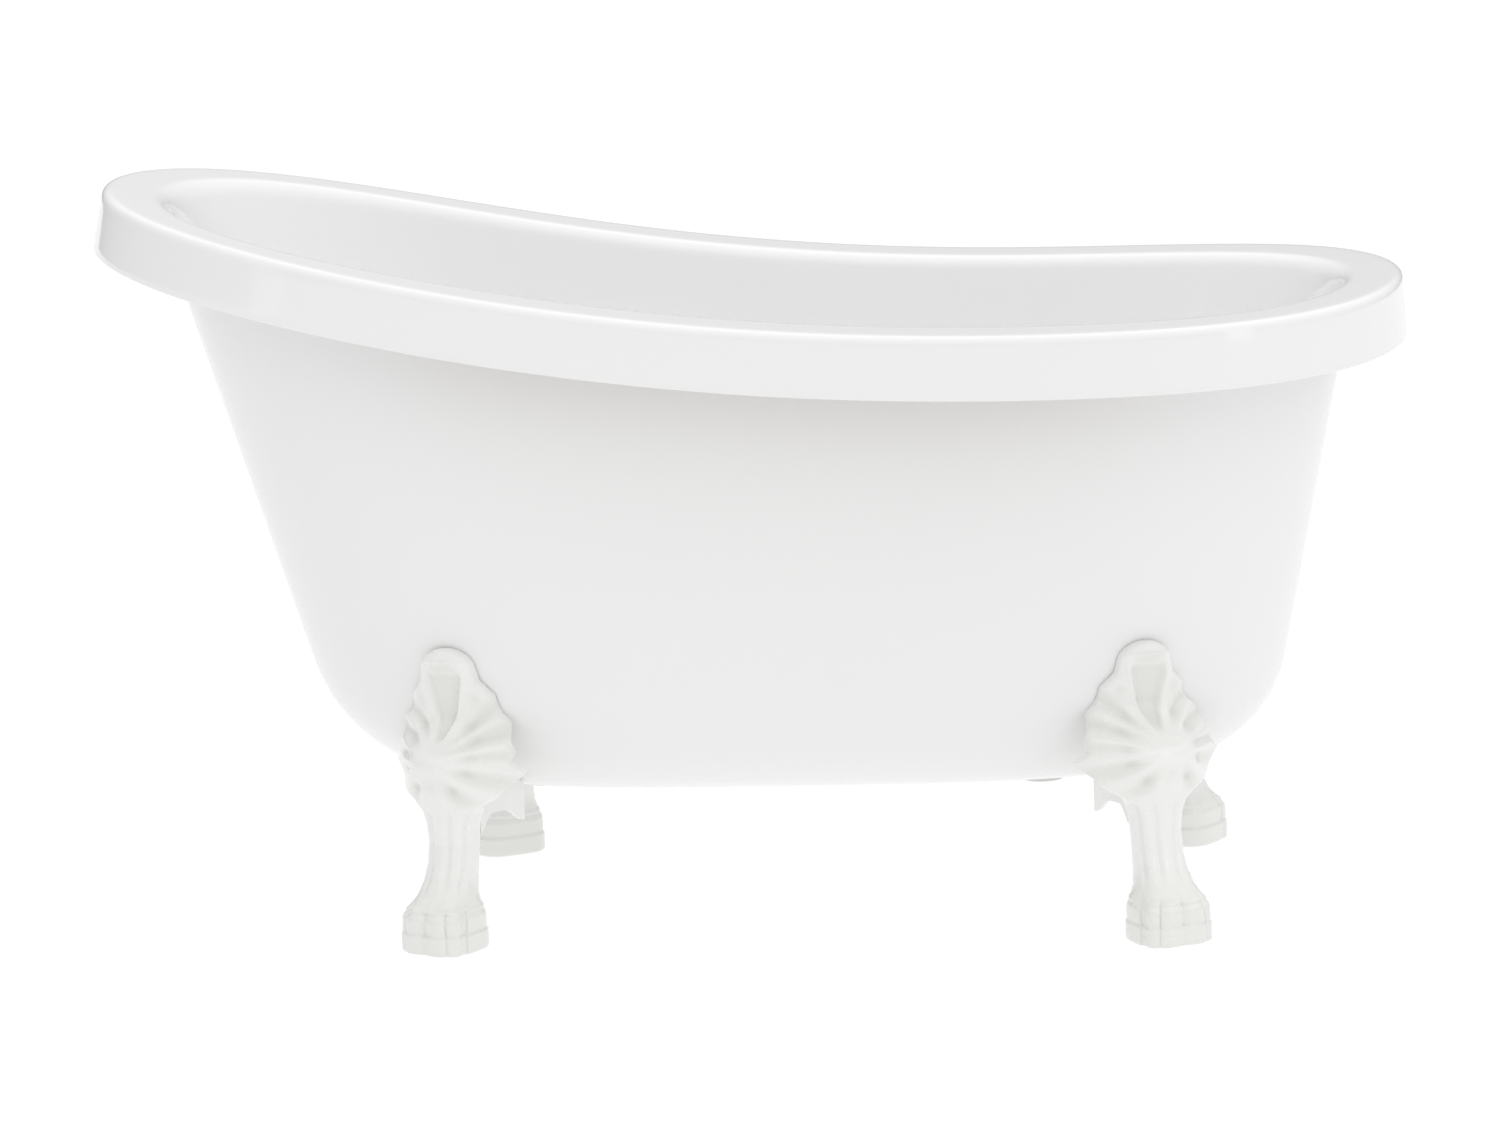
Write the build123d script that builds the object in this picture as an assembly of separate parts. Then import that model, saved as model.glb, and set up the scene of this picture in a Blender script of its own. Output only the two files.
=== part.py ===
from build123d import *
import math
import os

# Freestanding slipper bath: two acrylic skins, a timber base, four cast lion-paw feet
# and a cable-operated pop-up waste with overflow.
# X runs along the bath with the high head end at -X, Y across it, Z up, floor at z = 0.

# ---------------------------------------------------------------- driving sizes, mm
# plan of the rolled rim, measured at the deck's outer edge
HEAD_REACH = 756.9
FOOT_REACH = 724.0
RIM_HALF_WIDTH = 360.0
WIDEST_X = 22.0
RIM_HEAD_POWER = 4.3
RIM_FOOT_POWER = 5.6

# sheer of the deck: height of its lowest point and the rise towards each end
RIM_LOW = 700.5
LOW_POINT_X = 352.0
HEAD_RISE = 153.0
FOOT_RISE = 11.0
SHEER_SHAPE = (0.77, 0.92, -0.69)

# deck and apron
DECK_HEAD = 73.5
DECK_FOOT = 69.5
DECK_SIDE = 90.5
DECK_THICK = 9.0
APRON_DEPTH = 71.5
APRON_THICK = 6.0

# basin: slopes are run over rise, radii are those of the bottom corners
BASIN_WALL = 8.0
BASIN_FLOOR = 212.0
BASIN_HEAD_SLOPE = 0.46
BASIN_FOOT_SLOPE = 0.45
BASIN_SIDE_SLOPE = 0.16
BASIN_HEAD_RADIUS = 160.0
BASIN_FOOT_RADIUS = 120.0
BASIN_SIDE_RADIUS = 110.0
BASIN_TOP_POWER = 6.2
BASIN_FLOOR_POWER = 3.6

# outer body
SKIN_THICK = 6.0
BODY_BOTTOM = 157.0
BODY_MARGIN_HEAD = 20.0
BODY_MARGIN_FOOT = 16.0
BODY_MARGIN_SIDE = 15.0
BODY_HEAD_SLOPE = 0.29
BODY_FOOT_SLOPE = 0.205
BODY_SIDE_SLOPE = 0.10
BODY_HEAD_RADIUS = 195.0
BODY_FOOT_RADIUS = 148.0
BODY_SIDE_RADIUS = 110.0
BODY_TOP_POWER = 6.0
BODY_FLOOR_POWER = 3.6

# timber inside
BOARD_THICK = 18.0
BOARD_HEAD_X = -300.0
BOARD_FOOT_X = 430.0
BOARD_HALF_WIDTH = 112.0
BOARD_CLEARANCE = 4.0
BATTEN_WIDTH = 30.0
BATTEN_LENGTH = 420.0
BATTEN_Y = 60.0
BATTEN_X = -8.0
RIM_STRIP_LENGTH = 760.0
RIM_STRIP_WIDTH = 46.0
RIM_STRIP_THICK = 15.0
RIM_STRIP_X = 60.0
RIM_STRIP_OFFSET = 8.0
GLUE_GAP = 0.3

# feet
FOOT_HEAD_X = -333.0
FOOT_TOE_X = 460.0
FOOT_Y = 232.0
FOOT_SPLAY = 30.0
FOOT_LEAF_TOP = 352.0
LEAF_STAND_OFF = 1.5
LEAF_THICK = 13.0
LEG_WIDTH = 62.0
LEG_DEPTH = 54.0
PAW_WIDTH = 86.0
PAW_LENGTH = 84.0
PAW_HEIGHT = 52.0
FOOT_WALL = 8.0
HOLLOW_BACK = 5.0
PAW_FORWARD = 16.0
BOSS_RADIUS = 19.0
BOSS_DROP = 20.0
BOSS_HEIGHT = 60.0
LEAF_DEPTH = 96.0

# foot fixings
STUD_DIAMETER = 10.0
STUD_CLEARANCE = 0.5
STUD_PROUD = 4.0
STUD_INSET = 62.0
NUT_ACROSS_FLATS = 17.0
NUT_HEIGHT = 8.0
WASHER_DIAMETER = 30.0
WASHER_THICK = 2.5
BLOCK_SIZE = 58.0
BLOCK_HEIGHT = 46.0
INSERT_DIAMETER = 15.0
INSERT_LENGTH = 22.0

# levelling screws in the paws
LEVELLER_DIAMETER = 12.0
LEVELLER_LENGTH = 34.0
LEVELLER_PAD_DIAMETER = 34.0
LEVELLER_PAD_THICK = 6.0
LEVELLER_FIT = 0.08
POCKET_GAP = 1.5

# waste
WASTE_X = 320.0
WASTE_HOLE_RADIUS = 26.0
WASTE_FLANGE_RADIUS = 36.0
WASTE_FLANGE_THICK = 3.0
WASTE_BORE_RADIUS = 20.0
WASTE_THROAT_RADIUS = 24.8
WASTE_GASKET_THICK = 3.0
WASTE_BODY_RADIUS = 34.0
WASTE_BODY_HEIGHT = 36.0
TAIL_RADIUS = 23.9
TAIL_BOTTOM = 132.0
TAIL_CLEARANCE = 2.0
TAIL_BORE_RADIUS = 19.0
PLUG_RADIUS = 24.0
PLUG_THICK = 5.0
SEAL_GAP = 0.3
STEM_RADIUS = 3.0
STEM_FIT = 0.05
ROCKER_ARM = 19.0
ROCKER_THICK = 3.0
ROCKER_WIDTH = 6.0
ROCKER_BACK = 18.0
PIN_RADIUS = 2.0
THREAD_LENGTH = 10.4
BAR_THICK = 3.0
BAR_HEIGHT = 8.0
STEM_GUIDE_WALL = 2.5
THROAT_WALL = 1.0

# overflow
OVERFLOW_DEPTH = 126.0
OVERFLOW_PAD_RADIUS = 40.0
OVERFLOW_HOLE_RADIUS = 22.0
FACEPLATE_RADIUS = 36.0
KNOB_RADIUS = 24.0
KNOB_THICK = 13.0
KNOB_GAP = 1.0
KNOB_GRIPS = 6
KNOB_GRIP_RADIUS = 6.0
KNOB_FACE = 4.0
PLATE_THICK = 6.0
PLATE_EDGE = 3.0
SLOT_COUNT = 6
SLOT_RADIUS = 4.4
SLOT_RING = 13.5
SCREW_RADIUS = 2.5
SCREW_LENGTH = 14.0
SCREW_SLOT = 0.9
CUP_DEPTH = 15.0
CUP_WALL = 2.5
PAD_STAND = 3.0
PAD_RELIEF = 1.5
OVERFLOW_GASKET_THICK = 3.0
NECK_CLEARANCE = 0.5
DRUM_RADIUS = 15.0
DRUM_THICK = 6.0
DRUM_GROOVE = 1.6
SPINDLE_RADIUS = 5.0
SPINDLE_FIT = 0.05
HOSE_RADIUS = 9.0
HOSE_BORE_RADIUS = 7.0
CABLE_RADIUS = 2.5
CABLE_Y = 20.0
CABLE_START = 40.0
CABLE_SOCKET_RADIUS = 4.5
CABLE_RISE = 6.0
CLIP_THICK = 1.5
CLIP_WIDTH = 8.0

# how far a cutting tool runs past what it cuts, and the points of one lofted loop
OVERCUT = 20.0
LOOP_POINTS = 40
SECTION_POINTS = 20
LEVELS = (0.0, 0.004, 0.015, 0.035, 0.065, 0.11, 0.17, 0.26, 0.4, 0.6, 0.8, 1.0)


# ---------------------------------------------------------------- shape of the bath
def sheer(x):
    """Height of the deck at a station along the bath."""
    if x < LOW_POINT_X:
        v = (LOW_POINT_X - x) / (LOW_POINT_X - WIDEST_X + HEAD_REACH)
        p, q, r = SHEER_SHAPE
        return RIM_LOW + HEAD_RISE * (p * v**2 + q * v**3 + r * v**4)
    v = (x - LOW_POINT_X) / (WIDEST_X + FOOT_REACH - LOW_POINT_X)
    return RIM_LOW + FOOT_RISE * v**2


def sheer_slope(x):
    return (sheer(x + 0.5) - sheer(x - 0.5))


HEAD_TOP = sheer(WIDEST_X - HEAD_REACH)
FOOT_TOP = sheer(WIDEST_X + FOOT_REACH)
CLEAR_TOP = HEAD_TOP + 40.0

# One wall: reach at its top, height of that top, slope, radius of its bottom corner.
BASIN = dict(
    head=(HEAD_REACH - DECK_HEAD, HEAD_TOP, BASIN_HEAD_SLOPE, BASIN_HEAD_RADIUS),
    foot=(FOOT_REACH - DECK_FOOT, FOOT_TOP, BASIN_FOOT_SLOPE, BASIN_FOOT_RADIUS),
    side=(RIM_HALF_WIDTH - DECK_SIDE, RIM_LOW, BASIN_SIDE_SLOPE, BASIN_SIDE_RADIUS),
    floor=BASIN_FLOOR,
    powers=(BASIN_FLOOR_POWER, BASIN_TOP_POWER),
)
BODY = dict(
    head=(BASIN["head"][0] + BODY_MARGIN_HEAD, HEAD_TOP, BODY_HEAD_SLOPE, BODY_HEAD_RADIUS),
    foot=(BASIN["foot"][0] + BODY_MARGIN_FOOT, FOOT_TOP, BODY_FOOT_SLOPE, BODY_FOOT_RADIUS),
    side=(BASIN["side"][0] + BODY_MARGIN_SIDE, RIM_LOW, BODY_SIDE_SLOPE, BODY_SIDE_RADIUS),
    floor=BODY_BOTTOM,
    powers=(BODY_FLOOR_POWER, BODY_TOP_POWER),
)


def wall_reach(wall, floor, z, inset):
    """How far a wall stands from the middle at height z, moved inwards by inset."""
    top_reach, top_z, slope, radius = wall
    lean = math.atan(slope)
    low = floor + inset
    turn = radius - inset
    reach_top = top_reach - inset / math.cos(lean)
    tangent_z = low + turn * (1.0 - math.sin(lean))
    if z >= tangent_z:
        return reach_top - slope * (top_z - z)
    centre = reach_top - slope * (top_z - tangent_z) - turn * math.cos(lean)
    return centre + math.sqrt(max(turn**2 - (low + turn - z) ** 2, 0.0))


def reaches(shape, share, inset):
    """Head, foot and side reach where the wall has risen by share of its height."""
    low = shape["floor"] + inset
    found = []
    for name in ("head", "foot", "side"):
        wall = shape[name]
        z = low + share * (wall[1] - low)
        found.append(wall_reach(wall, shape["floor"], z, inset))
    low_power, top_power = shape["powers"]
    return found, low_power + (top_power - low_power) * min(share, 1.0)


def plan_point(turn, head, foot, half, head_power, foot_power):
    """Point of the outline |x/a|^n + |y/b|^2 = 1 about the widest station."""
    c = math.cos(turn)
    reach, power = (foot, foot_power) if c >= 0.0 else (head, head_power)
    y = half * math.sqrt(max(1.0 - abs(c) ** power, 0.0))
    return WIDEST_X + reach * c, math.copysign(y, math.sin(turn))


def turns():
    return [2.0 * math.pi * (i + 0.5) / LOOP_POINTS for i in range(LOOP_POINTS)]


def closed_loop(points):
    """Smooth closed loop made of four edges that meet at its corners, not at its ends."""
    eighth = len(points) // 8
    turned = [Vector(*p) for p in points[eighth:] + points[:eighth]]
    ring = Edge.make_spline(turned, periodic=True)
    quarter = len(points) // 4
    stops = [0.0] + [ring.param_at_point(turned[k * quarter]) for k in (1, 2, 3)] + [1.0]
    return Wire([ring.trim(a, b) for a, b in zip(stops, stops[1:])])


def wall_loop(shape, share, inset):
    """Loop round a wall that keeps the same share of the height all the way round."""
    (head, foot, half), power = reaches(shape, share, inset)
    low = shape["floor"] + inset
    points = []
    for turn in turns():
        x, y = plan_point(turn, head, foot, half, power, power)
        top_reach = shape["foot"][0] if math.cos(turn) >= 0.0 else shape["head"][0]
        deck_x = WIDEST_X + top_reach * math.cos(turn)
        points.append((x, y, low + share * (sheer(deck_x) - low)))
    return closed_loop(points)


def top_loop(shape, inset):
    """Level loop well above the deck, each wall carried on along its own slope."""
    ends = [wall_reach(shape[n], shape["floor"], CLEAR_TOP, inset) for n in ("head", "foot", "side")]
    power = shape["powers"][1]
    return closed_loop([(*plan_point(t, *ends, power, power), CLEAR_TOP) for t in turns()])


def bowl(shape, inset=0.0):
    """Everything inside a wall, from its floor to above the deck."""
    loops = [wall_loop(shape, share, inset) for share in LEVELS]
    loops.append(top_loop(shape, inset))
    return Solid.make_loft(loops)


def below_deck(depth):
    """Everything under a surface that lies the given depth below the deck, square to it."""
    stations = [WIDEST_X - HEAD_REACH - 120.0 + 86.0 * i for i in range(21)]
    points = []
    for x in stations:
        slope = sheer_slope(x)
        run = math.hypot(1.0, slope)
        points.append((x + depth * slope / run, sheer(x) - depth / run))
    left, right = points[0][0], points[-1][0]
    with BuildSketch(Plane.XZ) as side:
        with BuildLine():
            Spline(points)
            Line(points[-1], (right, 0.0))
            Line((right, 0.0), (left, 0.0))
            Line((left, 0.0), points[0])
        make_face()
    return extrude(side.sketch, amount=RIM_HALF_WIDTH + 60.0, both=True).solid()


def rim_block(inset):
    """Tapered block inside the apron, which hangs square to the deck at both ends."""
    head_lean = -sheer_slope(WIDEST_X - HEAD_REACH)
    foot_lean = sheer_slope(WIDEST_X + FOOT_REACH)
    loops = []
    for z in (RIM_LOW - 160.0, CLEAR_TOP):
        head = HEAD_REACH - inset + head_lean * (HEAD_TOP - z)
        foot = FOOT_REACH - inset + foot_lean * (FOOT_TOP - z)
        sizes = (head, foot, RIM_HALF_WIDTH - inset, RIM_HEAD_POWER, RIM_FOOT_POWER)
        loops.append(closed_loop([(*plan_point(t, *sizes), z) for t in turns()]))
    return Solid.make_loft(loops, ruled=True)


def skin_height(shape, x, y, inset=0.0):
    """Height at which a wall passes over or under a point of the plan."""
    low_share, high_share = 0.0, 1.0
    for _ in range(40):
        share = 0.5 * (low_share + high_share)
        (head, foot, half), power = reaches(shape, share, inset)
        reach = foot if x >= WIDEST_X else head
        inside = abs((x - WIDEST_X) / reach) ** power + (y / half) ** 2 < 1.0
        if inside:
            high_share = share
        else:
            low_share = share
    side = "foot" if x >= WIDEST_X else "head"
    top_x = WIDEST_X + (x - WIDEST_X) * shape[side][0] / reach
    low = shape["floor"] + inset
    return low + share * (sheer(top_x) - low)


def post(radius, low, high, x, y):
    return Pos(x, y, 0.5 * (low + high)) * Cylinder(radius, high - low)


def tube(outer, inner, low, high, x, y):
    return post(outer, low, high, x, y) - post(inner, low - 1.0, high + 1.0, x, y)


BASIN_SPACE = bowl(BASIN)
BASIN_BACK = bowl(BASIN, -BASIN_WALL)
BODY_SPACE = bowl(BODY)
BODY_INSIDE = bowl(BODY, SKIN_THICK)
BODY_LINED = bowl(BODY, SKIN_THICK + GLUE_GAP)
UNDER_DECK = below_deck(DECK_THICK)


# ---------------------------------------------------------------- frames shared by the fittings
WASTE_SEAT = BASIN_FLOOR
WASTE_UNDER = BASIN_FLOOR - BASIN_WALL

OVERFLOW_LEAN = math.atan(BASIN_FOOT_SLOPE)
OVERFLOW_Z = FOOT_TOP - OVERFLOW_DEPTH
OVERFLOW_X = WIDEST_X + wall_reach(BASIN["foot"], BASIN_FLOOR, OVERFLOW_Z, 0.0)
OVERFLOW_OUT = Vector(-math.cos(OVERFLOW_LEAN), 0.0, math.sin(OVERFLOW_LEAN))
OVERFLOW_FRAME = Plane(origin=(OVERFLOW_X, 0.0, OVERFLOW_Z), x_dir=(0.0, 1.0, 0.0), z_dir=OVERFLOW_OUT)
PAD_FRONT = PAD_STAND
PAD_BACK = -BASIN_WALL - PAD_RELIEF


def on_overflow(part):
    return OVERFLOW_FRAME.location * part


def disc(radius, low, high):
    """Round slab along the overflow's axis, measured from the basin wall."""
    return on_overflow(Pos(0.0, 0.0, 0.5 * (low + high)) * Cylinder(radius, high - low))


def solid_of(part):
    """The largest solid of a cut or joined shape."""
    return max(part.solids(), key=lambda one: one.volume)


# ---------------------------------------------------------------- skins
def inner_shell():
    shell = rim_block(0.0) & below_deck(0.0)
    shell -= below_deck(APRON_DEPTH)
    shell -= rim_block(APRON_THICK) & UNDER_DECK
    shell += BASIN_BACK & below_deck(0.5 * DECK_THICK)
    shell -= BASIN_SPACE
    shell += disc(OVERFLOW_PAD_RADIUS, PAD_BACK, PAD_FRONT)
    shell -= disc(OVERFLOW_HOLE_RADIUS, PAD_BACK - OVERCUT, PAD_FRONT + OVERCUT)
    shell -= post(WASTE_HOLE_RADIUS, WASTE_UNDER - OVERCUT, WASTE_SEAT + OVERCUT, WASTE_X, 0.0)
    return solid_of(shell)


def outer_shell():
    shell = (BODY_SPACE & UNDER_DECK) - (BODY_INSIDE & UNDER_DECK)
    hole_radius = TAIL_RADIUS + TAIL_CLEARANCE
    shell -= post(hole_radius, BODY_BOTTOM - OVERCUT, BODY_BOTTOM + OVERCUT, WASTE_X, 0.0)
    for x, y, _ in foot_places():
        sx, sy = stud_place(x, y)
        high = skin_height(BODY, sx, sy) + OVERCUT
        shell -= post(STUD_HOLE_RADIUS, BODY_BOTTOM - OVERCUT, high, sx, sy)
    return solid_of(shell)


# ---------------------------------------------------------------- timber
BOARD_BOTTOM = BODY_BOTTOM + SKIN_THICK
BOARD_TOP = BOARD_BOTTOM + BOARD_THICK
HOSE_Z = 0.5 * (BOARD_BOTTOM + WASTE_UNDER)
STUD_HOLE_RADIUS = 0.5 * STUD_DIAMETER + STUD_CLEARANCE


def base_board():
    length = BOARD_FOOT_X - BOARD_HEAD_X
    middle = 0.5 * (BOARD_HEAD_X + BOARD_FOOT_X)
    z = 0.5 * (BOARD_BOTTOM + BOARD_TOP)
    board = Pos(middle, 0.0, z) * Box(length, 2.0 * BOARD_HALF_WIDTH, BOARD_THICK)
    board &= BODY_LINED
    cut_radius = WASTE_BODY_RADIUS + BOARD_CLEARANCE
    board -= post(cut_radius, BOARD_BOTTOM - OVERCUT, BOARD_TOP + OVERCUT, WASTE_X, 0.0)
    slot = BOARD_FOOT_X - WASTE_X + OVERCUT
    slot_width = 2.0 * (HOSE_RADIUS + BOARD_CLEARANCE)
    board -= Pos(WASTE_X + 0.5 * slot, 0.0, z) * Box(slot, slot_width, BOARD_THICK + OVERCUT)
    return solid_of(board)


def batten(side):
    height = WASTE_UNDER - BOARD_TOP
    z = 0.5 * (WASTE_UNDER + BOARD_TOP)
    return Pos(BATTEN_X, side * BATTEN_Y, z) * Box(BATTEN_LENGTH, BATTEN_WIDTH, height)


def rim_strip(side):
    inner = BODY["side"][0] + RIM_STRIP_OFFSET
    outer = inner + RIM_STRIP_WIDTH
    y = side * 0.5 * (inner + outer)
    bar = Pos(RIM_STRIP_X, y, RIM_LOW) * Box(RIM_STRIP_LENGTH, RIM_STRIP_WIDTH, 2.0 * HEAD_RISE)
    strip = (bar & UNDER_DECK) - below_deck(DECK_THICK + RIM_STRIP_THICK)
    return solid_of(strip)


# ---------------------------------------------------------------- feet
def foot_places():
    """Place and outward heading, in degrees from +X, of each foot."""
    found = []
    for x, end in ((FOOT_HEAD_X, -1.0), (FOOT_TOE_X, 1.0)):
        for side in (-1.0, 1.0):
            heading = math.degrees(math.atan2(side * math.cos(math.radians(FOOT_SPLAY)),
                                              end * math.sin(math.radians(FOOT_SPLAY))))
            found.append((x, side * FOOT_Y, heading))
    return found


def stud_place(x, y):
    """A stud stands inboard of its foot, towards the bath's middle."""
    end = -1.0 if x < WIDEST_X else 1.0
    side = -1.0 if y < 0.0 else 1.0
    inward = math.radians(FOOT_SPLAY)
    return (x - end * STUD_INSET * math.sin(inward), y - side * STUD_INSET * math.cos(inward))


def shaped_section(width, depth, forward, z, power):
    """Rounded section of the leg, wide across its heading and deep along it."""
    points = []
    for i in range(SECTION_POINTS):
        turn = 2.0 * math.pi * (i + 0.5) / SECTION_POINTS
        c, s = math.cos(turn), math.sin(turn)
        u = 0.5 * depth * math.copysign(abs(c) ** (2.0 / power), c)
        v = 0.5 * width * math.copysign(abs(s) ** (2.0 / power), s)
        points.append((forward + u, v, z))
    return closed_loop(points)


LEG_LOW = PAW_HEIGHT + 18.0
LEG_HIGH = BODY_BOTTOM + 10.0
SPINE_MIDDLE = 0.5 * (LEG_HIGH + FOOT_LEAF_TOP) + 42.0


def leg_sections(inset, forward):
    """Ankle, shin and the thick spine that runs up behind the leaf."""
    sizes = [
        (LEG_WIDTH, LEG_DEPTH, 4.0, LEG_LOW),
        (LEG_WIDTH, LEG_DEPTH, 0.0, 0.5 * (LEG_LOW + LEG_HIGH)),
        (LEG_WIDTH + 12.0, LEG_DEPTH + 10.0, 0.0, LEG_HIGH),
        (LEG_WIDTH + 46.0, LEG_DEPTH + 40.0, -18.0, LEG_HIGH + 58.0),
        (LEG_WIDTH + 18.0, LEG_DEPTH + 44.0, -30.0, SPINE_MIDDLE),
    ]
    return [shaped_section(w - 2.0 * inset, d - 2.0 * inset, f + forward, z, 2.3) for w, d, f, z in sizes]


def leg_and_paw(x, y, heading):
    paw = [
        shaped_section(PAW_WIDTH, PAW_LENGTH, PAW_FORWARD, 0.0, 3.0),
        shaped_section(PAW_WIDTH, PAW_LENGTH, PAW_FORWARD, 0.6 * PAW_HEIGHT, 3.0),
        shaped_section(0.92 * PAW_WIDTH, 0.9 * PAW_LENGTH, PAW_FORWARD - 2.0, PAW_HEIGHT, 2.6),
    ]
    crown = shaped_section(0.55 * LEG_WIDTH, LEG_DEPTH + 4.0, -28.0, FOOT_LEAF_TOP - 12.0, 2.3)
    leg = Solid.make_loft(paw + leg_sections(0.0, 0.0) + [crown], ruled=True)
    return Pos(x, y, 0.0) * Rot(0.0, 0.0, heading) * leg


def leaf_outline(x, y, heading):
    """Block behind the leaf's outline, from outside the bath to where the leaf ends."""
    half = 0.5 * LEG_WIDTH
    low = BODY_BOTTOM - LEAF_STAND_OFF - LEAF_THICK - 1.0
    with BuildSketch(Plane.YZ) as face:
        with BuildLine():
            Polyline((half + 4.0, low), (0.0, low), (-half - 4.0, low), (-84.0, 196.0))
            Spline((-84.0, 196.0), (-58.0, 276.0), (-20.0, 340.0))
            ThreePointArc((-20.0, 340.0), (0.0, FOOT_LEAF_TOP), (20.0, 340.0))
            Spline((20.0, 340.0), (58.0, 276.0), (84.0, 196.0))
            Line((84.0, 196.0), (half + 4.0, low))
        make_face()
    block = extrude(face.sketch, amount=LEAF_DEPTH + 60.0)
    return Pos(x, y, 0.0) * Rot(0.0, 0.0, heading) * Pos(-LEAF_DEPTH, 0.0, 0.0) * block


BODY_CLEARED = bowl(BODY, -LEAF_STAND_OFF)
BODY_LEAFED = bowl(BODY, -LEAF_STAND_OFF - LEAF_THICK)


def claw_foot(x, y, heading):
    sx, sy = stud_place(x, y)
    seat = boss_seat(sx, sy)
    leaf = leaf_outline(x, y, heading) & BODY_LEAFED
    boss = post(BOSS_RADIUS, seat, seat + BOSS_HEIGHT, sx, sy)
    hollow = Solid.make_loft(leg_sections(FOOT_WALL, -FOOT_WALL - HOLLOW_BACK), ruled=True)
    foot = leaf + leg_and_paw(x, y, heading) + boss
    foot -= BODY_CLEARED
    foot -= Pos(x, y, 0.0) * Rot(0.0, 0.0, heading) * hollow
    foot -= post(STUD_HOLE_RADIUS, seat - OVERCUT, seat + 2.0 * BOSS_HEIGHT, sx, sy)
    lx, ly = leveller_place(x, y, heading)
    foot -= post(0.5 * LEVELLER_DIAMETER + LEVELLER_FIT, -OVERCUT, LEVELLER_LENGTH + POCKET_GAP, lx, ly)
    pocket_top = LEVELLER_PAD_THICK + POCKET_GAP
    foot -= post(0.5 * LEVELLER_PAD_DIAMETER + POCKET_GAP, -OVERCUT, pocket_top, lx, ly)
    return solid_of(foot)


def boss_seat(sx, sy):
    """Level face under the leaf's shelf that the stud's washer bears on."""
    return skin_height(BODY, sx, sy) - LEAF_STAND_OFF - LEAF_THICK - BOSS_DROP


def leveller_place(x, y, heading):
    turn = math.radians(heading)
    return x + 0.6 * PAW_FORWARD * math.cos(turn), y + 0.6 * PAW_FORWARD * math.sin(turn)


def leveller(x, y, heading):
    lx, ly = leveller_place(x, y, heading)
    screw = post(0.5 * LEVELLER_DIAMETER, 0.0, LEVELLER_LENGTH, lx, ly)
    return screw + post(0.5 * LEVELLER_PAD_DIAMETER, 0.0, LEVELLER_PAD_THICK, lx, ly)


# ---------------------------------------------------------------- foot fixings
def corner_block(x, y):
    sx, sy = stud_place(x, y)
    low = skin_height(BODY, sx, sy)
    block = Pos(sx, sy, low + 0.5 * BLOCK_HEIGHT) * Box(BLOCK_SIZE, BLOCK_SIZE, 3.0 * BLOCK_HEIGHT)
    block = block & BODY_LINED
    top = low + SKIN_THICK + BLOCK_HEIGHT
    below_top = Box(2.0 * BLOCK_SIZE, 2.0 * BLOCK_SIZE, 4.0 * BLOCK_HEIGHT)
    block &= Pos(sx, sy, top - 2.0 * BLOCK_HEIGHT) * below_top
    hole_low = insert_low(sx, sy)
    block -= post(0.5 * INSERT_DIAMETER, hole_low, top + OVERCUT, sx, sy)
    block -= post(STUD_HOLE_RADIUS, low - OVERCUT, hole_low + 1.0, sx, sy)
    return solid_of(block)


def insert_low(sx, sy):
    return skin_height(BODY, sx, sy) + SKIN_THICK + BLOCK_HEIGHT - INSERT_LENGTH


def thread_insert(sx, sy):
    low = insert_low(sx, sy)
    return tube(0.5 * INSERT_DIAMETER, 0.5 * STUD_DIAMETER, low, low + INSERT_LENGTH, sx, sy)


def foot_stud(sx, sy):
    low = boss_seat(sx, sy) - WASHER_THICK - NUT_HEIGHT - STUD_PROUD
    return post(0.5 * STUD_DIAMETER, low, insert_low(sx, sy) + INSERT_LENGTH, sx, sy)


def foot_washer(sx, sy):
    seat = boss_seat(sx, sy)
    return tube(0.5 * WASHER_DIAMETER, STUD_HOLE_RADIUS, seat - WASHER_THICK, seat, sx, sy)


def foot_nut(sx, sy):
    seat = boss_seat(sx, sy) - WASHER_THICK
    hexagon = RegularPolygon(NUT_ACROSS_FLATS / math.sqrt(3.0), 6)
    nut = Pos(sx, sy, seat - NUT_HEIGHT) * extrude(hexagon, amount=NUT_HEIGHT)
    return nut - post(0.5 * STUD_DIAMETER, seat - NUT_HEIGHT - 1.0, seat + 1.0, sx, sy)


# ---------------------------------------------------------------- waste
FLANGE_UNDER = WASTE_SEAT + WASTE_GASKET_THICK
FLANGE_TOP = FLANGE_UNDER + WASTE_FLANGE_THICK
BODY_TOP = WASTE_UNDER - WASTE_GASKET_THICK
BODY_BASE = BODY_TOP - WASTE_BODY_HEIGHT
THREAD_END = BODY_TOP - THREAD_LENGTH
STEM_END = BODY_BASE + 16.0
ROCKER_Z = STEM_END - 0.5 * ROCKER_THICK - 0.6
ROCKER_X = WASTE_X - ROCKER_BACK


def waste_gasket(low):
    return tube(WASTE_FLANGE_RADIUS - 1.0, WASTE_HOLE_RADIUS, low, low + WASTE_GASKET_THICK, WASTE_X, 0.0)


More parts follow.
